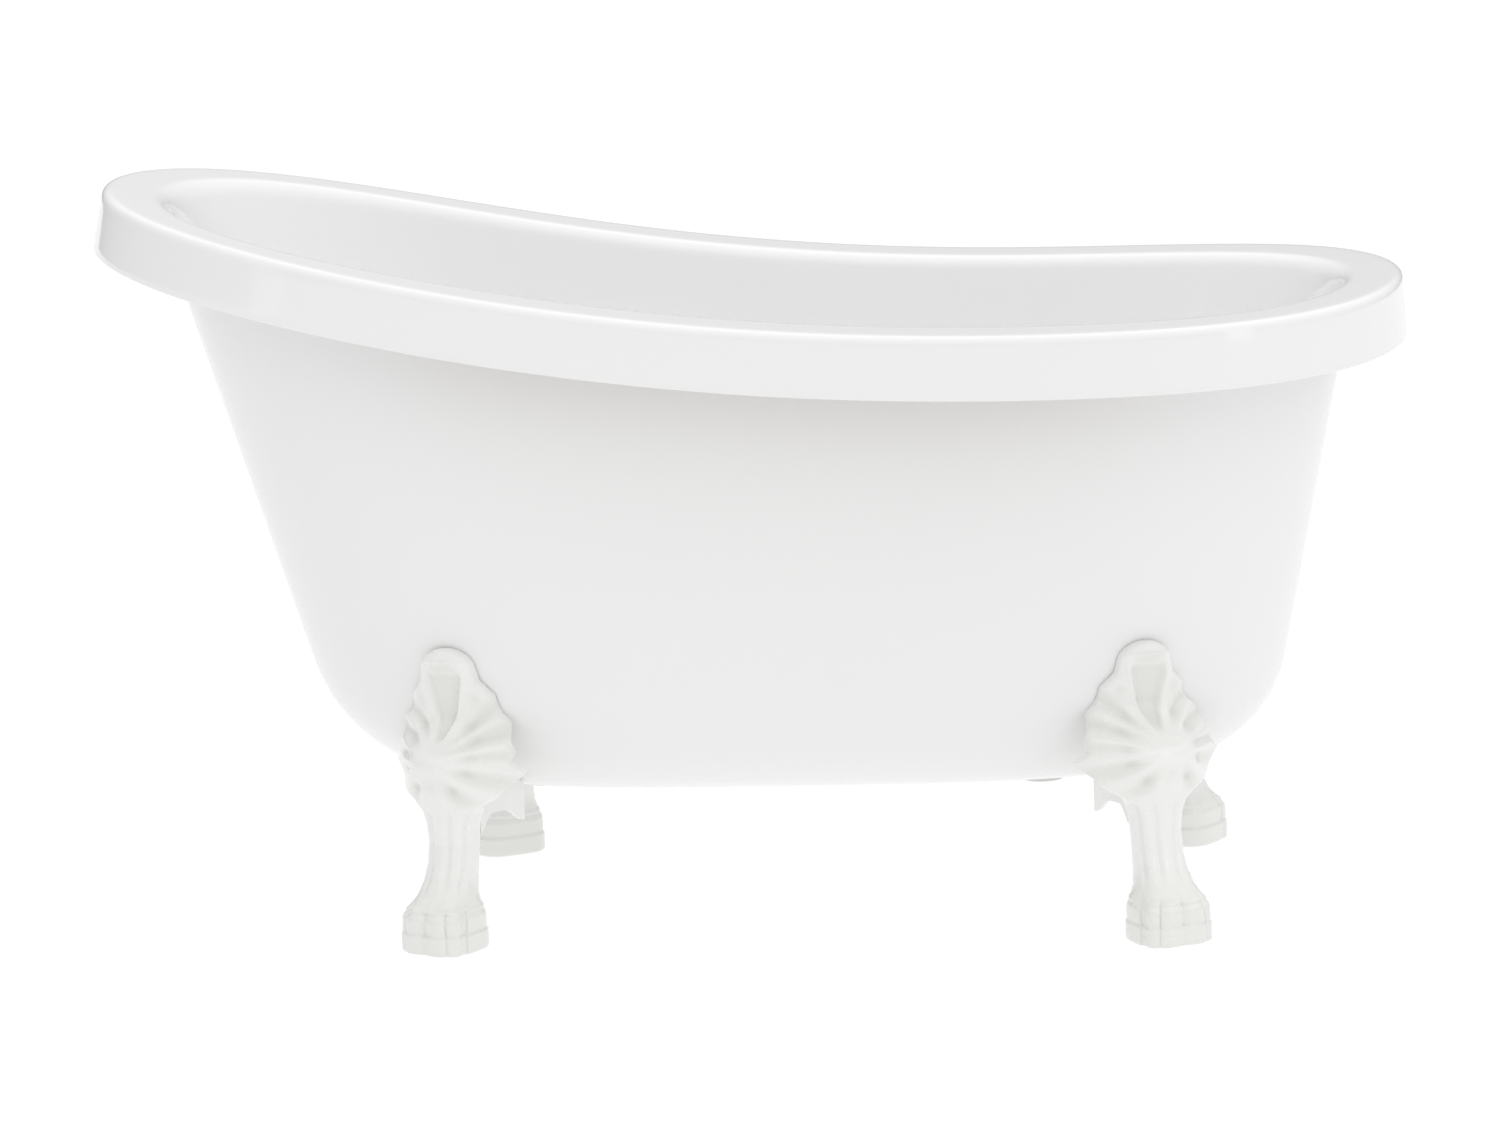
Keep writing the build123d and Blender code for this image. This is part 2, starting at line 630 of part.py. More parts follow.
def waste_flange():
    flange = post(WASTE_FLANGE_RADIUS, FLANGE_UNDER, FLANGE_TOP, WASTE_X, 0.0)
    flange += post(WASTE_THROAT_RADIUS, THREAD_END, FLANGE_TOP, WASTE_X, 0.0)
    flange -= post(WASTE_BORE_RADIUS, THREAD_END - 1.0, FLANGE_TOP + 1.0, WASTE_X, 0.0)
    bar_z = THREAD_END + 0.5 * BAR_HEIGHT
    for turn in (0.0, 90.0):
        bar = Box(2.0 * (WASTE_BORE_RADIUS + THROAT_WALL), BAR_THICK, BAR_HEIGHT)
        flange += Pos(WASTE_X, 0.0, bar_z) * Rot(0.0, 0.0, turn + 45.0) * bar
    flange += post(STEM_RADIUS + STEM_GUIDE_WALL, THREAD_END, THREAD_END + 1.5 * BAR_HEIGHT, WASTE_X, 0.0)
    flange -= post(STEM_RADIUS + STEM_FIT, THREAD_END - 1.0, FLANGE_TOP + 1.0, WASTE_X, 0.0)
    return solid_of(flange)


def waste_body():
    body = post(WASTE_BODY_RADIUS, BODY_BASE, BODY_TOP, WASTE_X, 0.0)
    body += post(TAIL_RADIUS, TAIL_BOTTOM, BODY_BASE + 1.0, WASTE_X, 0.0)
    spigot = Rot(0.0, 90.0, 0.0) * Cylinder(HOSE_BORE_RADIUS, 22.0)
    body += Pos(WASTE_X + WASTE_BODY_RADIUS + 7.0, 0.0, HOSE_Z) * spigot
    socket_length = CABLE_END - WASTE_X - 22.0
    socket = Rot(0.0, 90.0, 0.0) * Cylinder(CABLE_SOCKET_RADIUS, socket_length)
    body += Pos(CABLE_END - 0.5 * socket_length, CABLE_Y, CABLE_Z) * socket
    body -= post(WASTE_THROAT_RADIUS, THREAD_END, BODY_TOP + 1.0, WASTE_X, 0.0)
    body -= post(WASTE_BORE_RADIUS + 2.0, BODY_BASE + 4.0, THREAD_END + 1.0, WASTE_X, 0.0)
    body -= post(TAIL_BORE_RADIUS, TAIL_BOTTOM - 1.0, BODY_BASE + 5.0, WASTE_X, 0.0)
    bore = Rot(0.0, 90.0, 0.0) * Cylinder(HOSE_BORE_RADIUS - 2.0, 50.0)
    body -= Pos(WASTE_X + WASTE_BORE_RADIUS + 24.0, 0.0, HOSE_Z) * bore
    pin_hole = Rot(90.0, 0.0, 0.0) * Cylinder(PIN_RADIUS, 2.0 * pin_reach())
    body -= Pos(ROCKER_X, 0.0, ROCKER_Z) * pin_hole
    return solid_of(body)


def pin_reach():
    chamber = WASTE_BORE_RADIUS + 2.0
    return math.sqrt(chamber**2 - (WASTE_X - ROCKER_X) ** 2) + 4.0


def rocker_pin():
    pin = Rot(90.0, 0.0, 0.0) * Cylinder(PIN_RADIUS, 2.0 * pin_reach())
    return Pos(ROCKER_X, 0.0, ROCKER_Z) * pin


def lift_rocker():
    hub = Rot(90.0, 0.0, 0.0) * Cylinder(PIN_RADIUS + 1.6, ROCKER_WIDTH)
    arm = Pos(0.5 * ROCKER_ARM, 0.0, 0.0) * Box(ROCKER_ARM, ROCKER_WIDTH, ROCKER_THICK)
    rocker = (hub + arm) - Rot(90.0, 0.0, 0.0) * Cylinder(PIN_RADIUS + STEM_FIT, 2.0 * ROCKER_WIDTH)
    return solid_of(Pos(ROCKER_X, 0.0, ROCKER_Z) * rocker)


def plug_seal():
    low = FLANGE_TOP + SEAL_GAP
    return tube(PLUG_RADIUS - 1.0, PLUG_RADIUS - 5.0, low, FLANGE_TOP + 2.5, WASTE_X, 0.0)


def plug_cap():
    low = FLANGE_TOP + 2.5
    cap = post(PLUG_RADIUS, low, low + PLUG_THICK, WASTE_X, 0.0)
    cap = fillet(cap.edges().group_by(Axis.Z)[-1], 2.0)
    return solid_of(cap + post(PLUG_RADIUS - 5.0, FLANGE_TOP + 0.6, low + 1.0, WASTE_X, 0.0))


def plug_stem():
    return post(STEM_RADIUS, STEM_END, FLANGE_TOP + 0.6, WASTE_X, 0.0)


# ---------------------------------------------------------------- overflow
GASKET_BACK = PAD_BACK - OVERFLOW_GASKET_THICK
CUP_BACK = GASKET_BACK - CUP_DEPTH
CUP_RADIUS = OVERFLOW_PAD_RADIUS - 2.0
SPIGOT_W = 0.5 * (GASKET_BACK + CUP_BACK) - 1.0
PLATE_FRONT = PAD_FRONT + PLATE_THICK
KNOB_BACK = PLATE_FRONT + KNOB_GAP
KNOB_FRONT = KNOB_BACK + KNOB_THICK
NECK_RADIUS = OVERFLOW_HOLE_RADIUS - NECK_CLEARANCE
WALL_DOWN = Vector(-math.sin(OVERFLOW_LEAN), 0.0, -math.cos(OVERFLOW_LEAN))


def wall_place(down, out, across=0.0):
    """Point given by its distance down the basin wall, out of it and across it."""
    origin = Vector(OVERFLOW_X, across, OVERFLOW_Z)
    return origin + WALL_DOWN * down + OVERFLOW_OUT * out


def overflow_gasket():
    hole = disc(OVERFLOW_HOLE_RADIUS, GASKET_BACK - 5.0, PAD_FRONT)
    return solid_of(disc(CUP_RADIUS, GASKET_BACK, PAD_BACK) - hole)


def along_wall(radius, start, length, out, across=0.0):
    """Round bar running down the wall from the overflow's axis."""
    bar = Pos(across, start + 0.5 * length, out) * Rot(90.0, 0.0, 0.0) * Cylinder(radius, length)
    return on_overflow(bar)


def overflow_body():
    cup = disc(CUP_RADIUS, CUP_BACK, GASKET_BACK)
    cup += along_wall(HOSE_BORE_RADIUS, CUP_RADIUS - 6.0, 20.0, SPIGOT_W)
    cup += along_wall(CABLE_SOCKET_RADIUS, 20.0, CABLE_START - 20.0, SPIGOT_W, CABLE_Y)
    cup -= disc(CUP_RADIUS - CUP_WALL, CUP_BACK + CUP_WALL, GASKET_BACK - 3.0)
    cup -= disc(NECK_RADIUS, GASKET_BACK - 4.0, GASKET_BACK + 1.0)
    cup -= along_wall(HOSE_BORE_RADIUS - 2.0, CUP_RADIUS - 10.0, 30.0, SPIGOT_W)
    return solid_of(cup)


def overflow_faceplate():
    plate = disc(FACEPLATE_RADIUS, PAD_FRONT, PLATE_FRONT)
    plate = fillet(rim_edges(plate, FACEPLATE_RADIUS, PLATE_FRONT), PLATE_EDGE)
    plate += disc(NECK_RADIUS, GASKET_BACK - 3.0, PAD_FRONT + 1.0)
    for i in range(SLOT_COUNT):
        turn = 2.0 * math.pi * i / SLOT_COUNT
        x, y = SLOT_RING * math.cos(turn), SLOT_RING * math.sin(turn)
        middle = 0.5 * (GASKET_BACK + PLATE_FRONT)
        slot = Pos(x, y, middle) * Cylinder(SLOT_RADIUS, PLATE_FRONT - GASKET_BACK + OVERCUT)
        plate -= on_overflow(slot)
    plate -= disc(SPINDLE_RADIUS + SPINDLE_FIT, GASKET_BACK - 6.0, PLATE_FRONT + 5.0)
    return solid_of(plate)


def rim_edges(part, radius, out):
    """The round edge of a disc on the overflow's axis, at one face."""
    found = []
    for edge in part.edges():
        away = (edge.center(CenterOf.BOUNDING_BOX) - OVERFLOW_FRAME.origin).dot(OVERFLOW_OUT)
        if edge.geom_type == GeomType.CIRCLE and abs(away - out) < 0.1 and abs(edge.radius - radius) < 0.1:
            found.append(edge)
    return found


def overflow_knob():
    knob = disc(KNOB_RADIUS, KNOB_BACK, KNOB_FRONT)
    knob = fillet(rim_edges(knob, KNOB_RADIUS, KNOB_FRONT), PLATE_EDGE)
    for i in range(KNOB_GRIPS):
        turn = 2.0 * math.pi * i / KNOB_GRIPS
        away = KNOB_RADIUS + 0.6 * KNOB_GRIP_RADIUS
        place = Pos(away * math.cos(turn), away * math.sin(turn), KNOB_BACK)
        knob -= on_overflow(place * Cylinder(KNOB_GRIP_RADIUS, 4.0 * KNOB_THICK))
    knob -= disc(SPINDLE_RADIUS, KNOB_BACK - 1.0, KNOB_FRONT - KNOB_FACE)
    knob -= disc(SCREW_RADIUS, KNOB_BACK, KNOB_FRONT + 1.0)
    return solid_of(knob)


def knob_spindle():
    spindle = disc(SPINDLE_RADIUS, CUP_BACK + CUP_WALL + 0.5, KNOB_FRONT - KNOB_FACE)
    return solid_of(spindle - disc(SCREW_RADIUS, KNOB_FRONT - SCREW_LENGTH, KNOB_FRONT))


def knob_screw():
    screw = disc(SCREW_RADIUS, KNOB_FRONT - SCREW_LENGTH, KNOB_FRONT)
    slot = Box(SCREW_SLOT, 3.0 * SCREW_RADIUS, 2.0 * SCREW_SLOT)
    return solid_of(screw - on_overflow(Pos(0.0, 0.0, KNOB_FRONT) * slot))


def cable_drum():
    low = CUP_BACK + CUP_WALL + 0.8
    drum = disc(DRUM_RADIUS, low, low + DRUM_THICK) - disc(SPINDLE_RADIUS, low - 1.0, low + 2.0 * DRUM_THICK)
    groove = on_overflow(Pos(0.0, 0.0, low + 0.5 * DRUM_THICK) * Torus(DRUM_RADIUS + 0.5, DRUM_GROOVE))
    return solid_of(drum - groove)


# ---------------------------------------------------------------- hose and cable sleeve
CABLE_Z = HOSE_Z + CABLE_RISE
HOSE_START = CUP_RADIUS + 2.0
HOSE_END = WASTE_X + WASTE_BODY_RADIUS + 2.0
CABLE_END = WASTE_X + WASTE_BODY_RADIUS + 12.0


def bend_radii(points):
    """Largest even bend at each corner: 0.45 of the shorter run over tan of half the turn."""
    radii = []
    for a, b, c in zip(points, points[1:], points[2:]):
        run_in, run_out = b - a, c - b
        half_turn = math.radians(run_in.get_angle(run_out)) / 2.0
        radii.append(0.45 * min(run_in.length, run_out.length) / math.tan(half_turn))
    return radii


def routed(points, radius, name):
    radii = bend_radii(points)
    path = FilletPolyline(*points, radius=radii)
    start = Plane(origin=points[0], z_dir=points[1] - points[0])
    swept = sweep(start * Circle(radius), path=path)
    print(name, "length", round(path.length, 1), "bends", [round(r) for r in radii])
    return swept


def hose_points():
    middle = [(563.0, 367.0), (528.0, 262.0), (480.0, 203.0), (415.0, HOSE_Z)]
    first = wall_place(HOSE_START, SPIGOT_W)
    second = wall_place(HOSE_START + 70.0, SPIGOT_W)
    last = Vector(HOSE_END, 0.0, HOSE_Z)
    return [first, second] + [Vector(x, 0.0, z) for x, z in middle] + [last]


def overflow_hose():
    points = hose_points()
    hose = routed(points, HOSE_RADIUS, "overflow hose")
    return solid_of(hose - routed(points, HOSE_BORE_RADIUS, "hose bore"))


def cable_sleeve():
    middle = [(566.0, 374.0), (531.0, 266.0), (486.0, 211.0), (425.0, CABLE_Z)]
    first = wall_place(CABLE_START, SPIGOT_W, CABLE_Y)
    second = wall_place(CABLE_START + 62.0, SPIGOT_W, CABLE_Y)
    last = Vector(CABLE_END, CABLE_Y, CABLE_Z)
    points = [first, second] + [Vector(x, CABLE_Y, z) for x, z in middle] + [last]
    return solid_of(routed(points, CABLE_RADIUS, "cable sleeve"))


def hose_clip_top():
    ring = along_wall(HOSE_RADIUS + CLIP_THICK, HOSE_START + 3.0, CLIP_WIDTH, SPIGOT_W)
    return solid_of(ring - along_wall(HOSE_RADIUS, HOSE_START, 2.5 * CLIP_WIDTH, SPIGOT_W))


def hose_clip_bottom():
    turned = Rot(0.0, 90.0, 0.0)
    ring = turned * Cylinder(HOSE_RADIUS + CLIP_THICK, CLIP_WIDTH)
    ring -= turned * Cylinder(HOSE_RADIUS, 2.0 * CLIP_WIDTH)
    return solid_of(Pos(HOSE_END + 7.0, 0.0, HOSE_Z) * ring)


# ---------------------------------------------------------------- every piece, by name
def all_parts():
    parts = {
        "inner_shell": inner_shell(),
        "outer_shell": outer_shell(),
        "base_board": base_board(),
        "waste_top_gasket": waste_gasket(WASTE_SEAT),
        "waste_bottom_gasket": waste_gasket(BODY_TOP),
        "waste_flange": waste_flange(),
        "waste_body": waste_body(),
        "rocker_pin": rocker_pin(),
        "lift_rocker": lift_rocker(),
        "plug_seal": plug_seal(),
        "plug_cap": plug_cap(),
        "plug_stem": plug_stem(),
        "overflow_gasket": overflow_gasket(),
        "overflow_body": overflow_body(),
        "overflow_faceplate": overflow_faceplate(),
        "overflow_knob": overflow_knob(),
        "knob_spindle": knob_spindle(),
        "knob_screw": knob_screw(),
        "cable_drum": cable_drum(),
        "overflow_hose": overflow_hose(),
        "cable_sleeve": cable_sleeve(),
        "hose_clip_top": hose_clip_top(),
        "hose_clip_bottom": hose_clip_bottom(),
    }
    for side, word in ((-1.0, "front"), (1.0, "back")):
        parts["floor_batten_" + word] = batten(side)
        parts["rim_strip_" + word] = rim_strip(side)
    words = ("head_front", "head_back", "toe_front", "toe_back")
    studs = [stud_place(x, y) for x, y, _ in foot_places()]
    for word, place in zip(words, foot_places()):
        parts["claw_foot_" + word] = claw_foot(*place)
        parts["leveller_" + word] = leveller(*place)
        parts["corner_block_" + word] = corner_block(place[0], place[1])
    for name, maker in (
        ("foot_studs", foot_stud),
        ("foot_washers", foot_washer),
        ("foot_nuts", foot_nut),
        ("thread_inserts", thread_insert),
    ):
        parts[name] = Compound(children=[solid_of(maker(*one)) for one in studs])
    return parts


os.makedirs("parts", exist_ok=True)
for node, shape in all_parts().items():
    export_step(shape, "parts/" + node + ".step")
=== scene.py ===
import math

import bmesh
import bpy
import numpy as np
from mathutils import Matrix, Vector


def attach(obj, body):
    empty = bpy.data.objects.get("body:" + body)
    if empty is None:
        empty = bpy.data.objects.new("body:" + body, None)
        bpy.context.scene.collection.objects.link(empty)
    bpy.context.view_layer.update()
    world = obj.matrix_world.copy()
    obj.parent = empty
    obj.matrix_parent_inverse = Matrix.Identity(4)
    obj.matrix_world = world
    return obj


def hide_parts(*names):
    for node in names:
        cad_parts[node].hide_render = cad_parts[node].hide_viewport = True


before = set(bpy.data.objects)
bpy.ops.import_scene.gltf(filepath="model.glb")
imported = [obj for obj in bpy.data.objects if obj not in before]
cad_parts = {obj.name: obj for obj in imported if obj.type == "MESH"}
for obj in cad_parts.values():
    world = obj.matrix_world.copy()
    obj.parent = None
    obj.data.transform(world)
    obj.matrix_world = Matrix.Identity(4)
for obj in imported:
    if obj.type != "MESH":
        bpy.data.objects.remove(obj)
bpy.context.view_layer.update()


# ---- Camera
# A long lens stands eight metres off, a little to the foot end's side and above the rim,
# and is turned slightly about its own axis.
CAMERA_PLACE = Vector((0.8281, -7.8236, 1.8302))
CAMERA_TARGET = Vector((-0.0099, 0.0, 0.39026))
CAMERA_LENS = 166.68
CAMERA_ROLL = -0.0381

camera = bpy.data.objects.new("camera", bpy.data.cameras.new("camera"))
bpy.context.collection.objects.link(camera)
camera.data.lens = CAMERA_LENS
camera.data.sensor_width = 36.0
camera.data.clip_end = 100.0
camera.rotation_mode = "QUATERNION"
camera.location = CAMERA_PLACE
facing = (CAMERA_TARGET - CAMERA_PLACE).to_track_quat("-Z", "Y")
camera.rotation_quaternion = facing @ Matrix.Rotation(CAMERA_ROLL, 3, "Z").to_quaternion()
bpy.context.scene.camera = camera


# ---- Studio
# A wide pale table that glows a little, in a white room that is dimmer to the left, with one
# broad soft light above and two tall soft panels in front.
FLOOR_RADIUS = 14.0
FLOOR_GLOW = 0.93
ROOM_LIGHT = 0.42
LEFT_LIGHT = 0.22
CEILING_EXTRA = 0.86

bpy.context.scene.view_settings.view_transform = "Standard"


def fresh_material(name):
    """A material with only its output and one Principled shader."""
    made = bpy.data.materials.new(name)
    made.use_nodes = True
    shader = made.node_tree.nodes["Principled BSDF"]
    return made, made.node_tree.nodes, made.node_tree.links, shader


bpy.ops.object.select_all(action="DESELECT")
bpy.ops.mesh.primitive_circle_add(vertices=96, radius=FLOOR_RADIUS, fill_type="NGON")
floor = bpy.context.object
floor.name = "studio_floor"
floor_paint, nodes, links, shader = fresh_material("pale_table")
shader.inputs["Base Color"].default_value = (0.10, 0.10, 0.10, 1.0)
shader.inputs["Roughness"].default_value = 0.9
shader.inputs["Specular IOR Level"].default_value = 0.1
shader.inputs["Emission Color"].default_value = (1.0, 1.0, 1.0, 1.0)
shader.inputs["Emission Strength"].default_value = FLOOR_GLOW
floor.data.materials.append(floor_paint)

room = bpy.data.worlds.new("white_room")
bpy.context.scene.world = room
room.use_nodes = True
nodes, links = room.node_tree.nodes, room.node_tree.links
wall_light = nodes["Background"]
where = nodes.new("ShaderNodeTexCoord")
parts = nodes.new("ShaderNodeSeparateXYZ")
across = nodes.new("ShaderNodeMapRange")
across.inputs["From Min"].default_value = -1.0
across.inputs["From Max"].default_value = -0.2
across.inputs["To Min"].default_value = LEFT_LIGHT
across.inputs["To Max"].default_value = ROOM_LIGHT
ceiling = nodes.new("ShaderNodeMapRange")
ceiling.inputs["From Min"].default_value = 0.05
ceiling.inputs["From Max"].default_value = 0.75
ceiling.inputs["To Max"].default_value = CEILING_EXTRA
total = nodes.new("ShaderNodeMath")
links.new(where.outputs["Generated"], parts.inputs[0])
links.new(parts.outputs["X"], across.inputs["Value"])
links.new(parts.outputs["Z"], ceiling.inputs["Value"])
links.new(across.outputs["Result"], total.inputs[0])
links.new(ceiling.outputs["Result"], total.inputs[1])
links.new(total.outputs["Value"], wall_light.inputs["Strength"])
wall_light.inputs["Color"].default_value = (1.0, 1.0, 1.0, 1.0)


def soft_panel(name, place, aim, wide, tall, watts):
    """A rectangular soft light turned towards a point."""
    lamp = bpy.data.lights.new(name, "AREA")
    lamp.shape = "RECTANGLE"
    lamp.size, lamp.size_y, lamp.energy = wide, tall, watts
    holder = bpy.data.objects.new(name, lamp)
    bpy.context.collection.objects.link(holder)
    holder.location = place
    turn = (Vector(aim) - Vector(place)).to_track_quat("-Z", "Y")
    holder.rotation_euler = turn.to_euler()
    return holder


soft_panel("overhead_panel", (0.3, -0.4, 3.6), (0.0, 0.0, 0.5), 3.6, 2.4, 4.0)
soft_panel("left_panel", (-3.4, -3.4, 1.5), (0.0, 0.0, 0.5), 0.7, 2.6, 3.0)
soft_panel("right_panel", (3.2, -3.0, 1.5), (0.0, 0.0, 0.5), 0.8, 2.6, 9.0)


# ---- Inner shell
# The basin, its deck and the hanging apron are one sheet of white acrylic, drawn hot into
# a mould, so every edge is rolled. It is glued to the outer skin under the deck.
HEAD_REACH, FOOT_REACH, RIM_HALF = 0.7569, 0.7240, 0.3600
WIDEST_X = 0.0220
RIM_POWERS = (4.3, 5.6)
RIM_LOW, LOW_POINT_X = 0.7005, 0.3520
HEAD_RISE, FOOT_RISE = 0.1530, 0.0110
DECK_HEAD, DECK_FOOT, DECK_SIDE = 0.0735, 0.0695, 0.0905
DECK_THICK, APRON_DEPTH, APRON_THICK = 0.0090, 0.0715, 0.0060
BASIN_WALL, BASIN_FLOOR = 0.0080, 0.2120
OUTER_ROLL, INNER_ROLL, LIP_ROLL = 0.0110, 0.0170, 0.0028
WASTE_X, WASTE_HOLE = 0.3200, 0.0260
OVERFLOW_DEPTH, OVERFLOW_SLOPE = 0.1260, 0.45
OVERFLOW_HOLE, OVERFLOW_PAD = 0.0220, 0.0400
PAD_THICK, PAD_SINK, HOLE_REACH = 0.0125, 0.00325, 0.0600
AROUND = 208

turn = 2.0 * math.pi * (np.arange(AROUND) + 0.5) / AROUND
turn_cos, turn_sin = np.cos(turn), np.sin(turn)
footward = turn_cos >= 0.0


def sheer(x):
    """Height of the deck at stations along the bath."""
    v = np.clip((LOW_POINT_X - x) / (LOW_POINT_X - WIDEST_X + HEAD_REACH), 0.0, None)
    u = np.clip((x - LOW_POINT_X) / (WIDEST_X + FOOT_REACH - LOW_POINT_X), 0.0, None)
    return RIM_LOW + HEAD_RISE * (0.77 * v**2 + 0.92 * v**3 - 0.69 * v**4) + FOOT_RISE * u**2


def sheer_slope(x):
    return (sheer(x + 0.0005) - sheer(x - 0.0005)) / 0.001


HEAD_TOP = float(sheer(np.array(WIDEST_X - HEAD_REACH)))
FOOT_TOP = float(sheer(np.array(WIDEST_X + FOOT_REACH)))
HEAD_LEAN = -float(sheer_slope(np.array(WIDEST_X - HEAD_REACH)))
FOOT_LEAN = float(sheer_slope(np.array(WIDEST_X + FOOT_REACH)))

# reach at the top, height of that top, slope and radius of the bottom corner
BASIN = {
    "head": (HEAD_REACH - DECK_HEAD, HEAD_TOP, 0.46, 0.160),
    "foot": (FOOT_REACH - DECK_FOOT, FOOT_TOP, 0.45, 0.120),
    "side": (RIM_HALF - DECK_SIDE, RIM_LOW, 0.16, 0.110),
    "floor": BASIN_FLOOR,
    "powers": (3.6, 6.2),
}


def wall_reach(wall, floor_z, z, inset):
    """How far a wall stands from the middle at height z, moved inwards by inset."""
    top_reach, top_z, slope, radius = wall
    lean = math.atan(slope)
    low, bend = floor_z + inset, radius - inset
    reach_top = top_reach - inset / math.cos(lean)
    tangent_z = low + bend * (1.0 - math.sin(lean))
    if z >= tangent_z:
        return reach_top - slope * (top_z - z)
    centre = reach_top - slope * (top_z - tangent_z) - bend * math.cos(lean)
    return centre + math.sqrt(max(bend**2 - (low + bend - z) ** 2, 0.0))


def reaches(shape, share, inset):
    """Head, foot and side reach, and the plan's power, at a share of the wall's height."""
    low = shape["floor"] + inset
    found = []
    for name in ("head", "foot", "side"):
        wall = shape[name]
        found.append(wall_reach(wall, shape["floor"], low + share * (wall[1] - low), inset))
    low_power, top_power = shape["powers"]
    return found, low_power + (top_power - low_power) * min(share, 1.0)


def plan(head, foot, half, head_power, foot_power):
    """Outline |x/a|^n + |y/b|^2 = 1 about the widest station."""
    reach = np.where(footward, foot, head)
    power = np.where(footward, foot_power, head_power)
    y = half * np.sqrt(np.clip(1.0 - np.abs(turn_cos) ** power, 0.0, None)) * np.sign(turn_sin)
    return WIDEST_X + reach * turn_cos, y


def wall_ring(shape, share, inset=0.0):
    """Ring round a wall at the same share of its height all the way round."""
    (head, foot, half), power = reaches(shape, share, inset)
    x, y = plan(head, foot, half, power, power)
    low = shape["floor"] + inset
    deck_x = WIDEST_X + np.where(footward, shape["foot"][0], shape["head"][0]) * turn_cos
    return np.stack((x, y, low + share * (sheer(deck_x) - low)), axis=1)


def rim_ring(depth, inset=0.0):
    """Ring on the apron at a depth below the deck, square to it."""
    z = sheer(np.full(AROUND, WIDEST_X)) - depth
    for _ in range(8):
        head = HEAD_REACH - inset + HEAD_LEAN * (HEAD_TOP - z)
        foot = FOOT_REACH - inset + FOOT_LEAN * (FOOT_TOP - z)
        x, y = plan(head, foot, RIM_HALF - inset, *RIM_POWERS)
        deck_x = x
        for _ in range(4):
            slope = sheer_slope(deck_x)
            deck_x = x - depth * slope / np.hypot(1.0, slope)
        slope = sheer_slope(deck_x)
        z = sheer(deck_x) - depth / np.hypot(1.0, slope)
    return np.stack((x, y, z), axis=1)


def deck_ring(start, end, away):
    """Ring on the deck at a distance from one ring towards another."""
    run = end[:, :2] - start[:, :2]
    flat = start[:, :2] + run * (away / np.linalg.norm(run, axis=1))[:, None]
    return np.column_stack((flat, sheer(flat[:, 0])))


def rolled(first, corner, last, steps):
    """Rings of a rolled edge between two rings, turning inside their corner."""
    shares = np.linspace(0.0, 1.0, steps + 1)
    return [(1 - s) ** 2 * first + 2 * s * (1 - s) * corner + s**2 * last for s in shares]


def hole_rings(edge, centre_x, radius, steps):
    """Flat rings from a round hole out to an edge, the hole's own ring first."""
    away = edge[:, :2] - np.array((centre_x, 0.0))
    hole = away / np.linalg.norm(away, axis=1)[:, None] * radius + np.array((centre_x, 0.0))
    rings = []
    for share in np.linspace(0.0, 1.0, steps + 1)[:-1]:
        flat = hole + (edge[:, :2] - hole) * share
        rings.append(np.column_stack((flat, edge[:, 2])))
    return rings


def loft(name, rings, joined=False):
    """A closed skin through rings of points: one circle, extruded ring by ring."""
    count = len(rings[0])
    bpy.ops.object.select_all(action="DESELECT")
    bpy.ops.mesh.primitive_circle_add(vertices=count, radius=1.0)
    made = bpy.context.object
    made.name = made.data.name = name
    bpy.ops.object.mode_set(mode="EDIT")
    skin = bmesh.from_edit_mesh(made.data)
    order = skin.verts.layers.int.new("order")
    skin.verts.ensure_lookup_table()
    for number, vert in enumerate(skin.verts):
        vert[order] = number
        vert.co = rings[0][number]
        vert.select = True
    skin.select_flush(True)
    if not joined:
        bpy.ops.mesh.edge_face_add()
        bpy.ops.mesh.poke()
        bpy.ops.mesh.select_all(action="DESELECT")
        skin = bmesh.from_edit_mesh(made.data)
        for vert in skin.verts:
            vert.select = vert.is_boundary
        skin.select_flush(True)
    for ring in rings[1:]:
        bpy.ops.mesh.extrude_region_move()
        skin = bmesh.from_edit_mesh(made.data)
        order = skin.verts.layers.int["order"]
        for vert in skin.verts:
            if vert.select:
                vert.co = ring[vert[order]]
    if not joined:
        bpy.ops.mesh.edge_face_add()
        bpy.ops.mesh.poke()
    bpy.ops.mesh.select_all(action="SELECT")
    bpy.ops.mesh.remove_doubles(threshold=0.00001)
    bpy.ops.mesh.normals_make_consistent(inside=False)
    bpy.ops.object.mode_set(mode="OBJECT")
    made.data.attributes.remove(made.data.attributes["order"])
    return made


def cut(piece, tool, operation="DIFFERENCE"):
    """Joins or cuts a piece with a tool, which is then thrown away."""
    fit = piece.modifiers.new("fit", "BOOLEAN")
    fit.operation, fit.object, fit.solver = operation, tool, "EXACT"
    bpy.context.view_layer.objects.active = piece
    bpy.ops.object.modifier_apply(modifier=fit.name)
    bpy.data.objects.remove(tool)


def rod(centre, axis, radius, length, vertices=64):
    """A cylinder about a line."""
    bpy.ops.object.select_all(action="DESELECT")
    bpy.ops.mesh.primitive_cylinder_add(
        vertices=vertices,
        radius=radius,
        depth=length,
        location=centre,
        rotation=Vector(axis).to_track_quat("Z", "Y").to_euler(),
    )
    return bpy.context.object


def settle(piece, angle=0.6):
    """Sets the piece at the origin and smooths it where it turns gently."""
    bpy.ops.object.select_all(action="DESELECT")
    piece.select_set(True)
    bpy.context.view_layer.objects.active = piece
    bpy.ops.object.transform_apply(location=True, rotation=True, scale=True)
    bpy.ops.object.shade_smooth_by_angle(angle=angle)


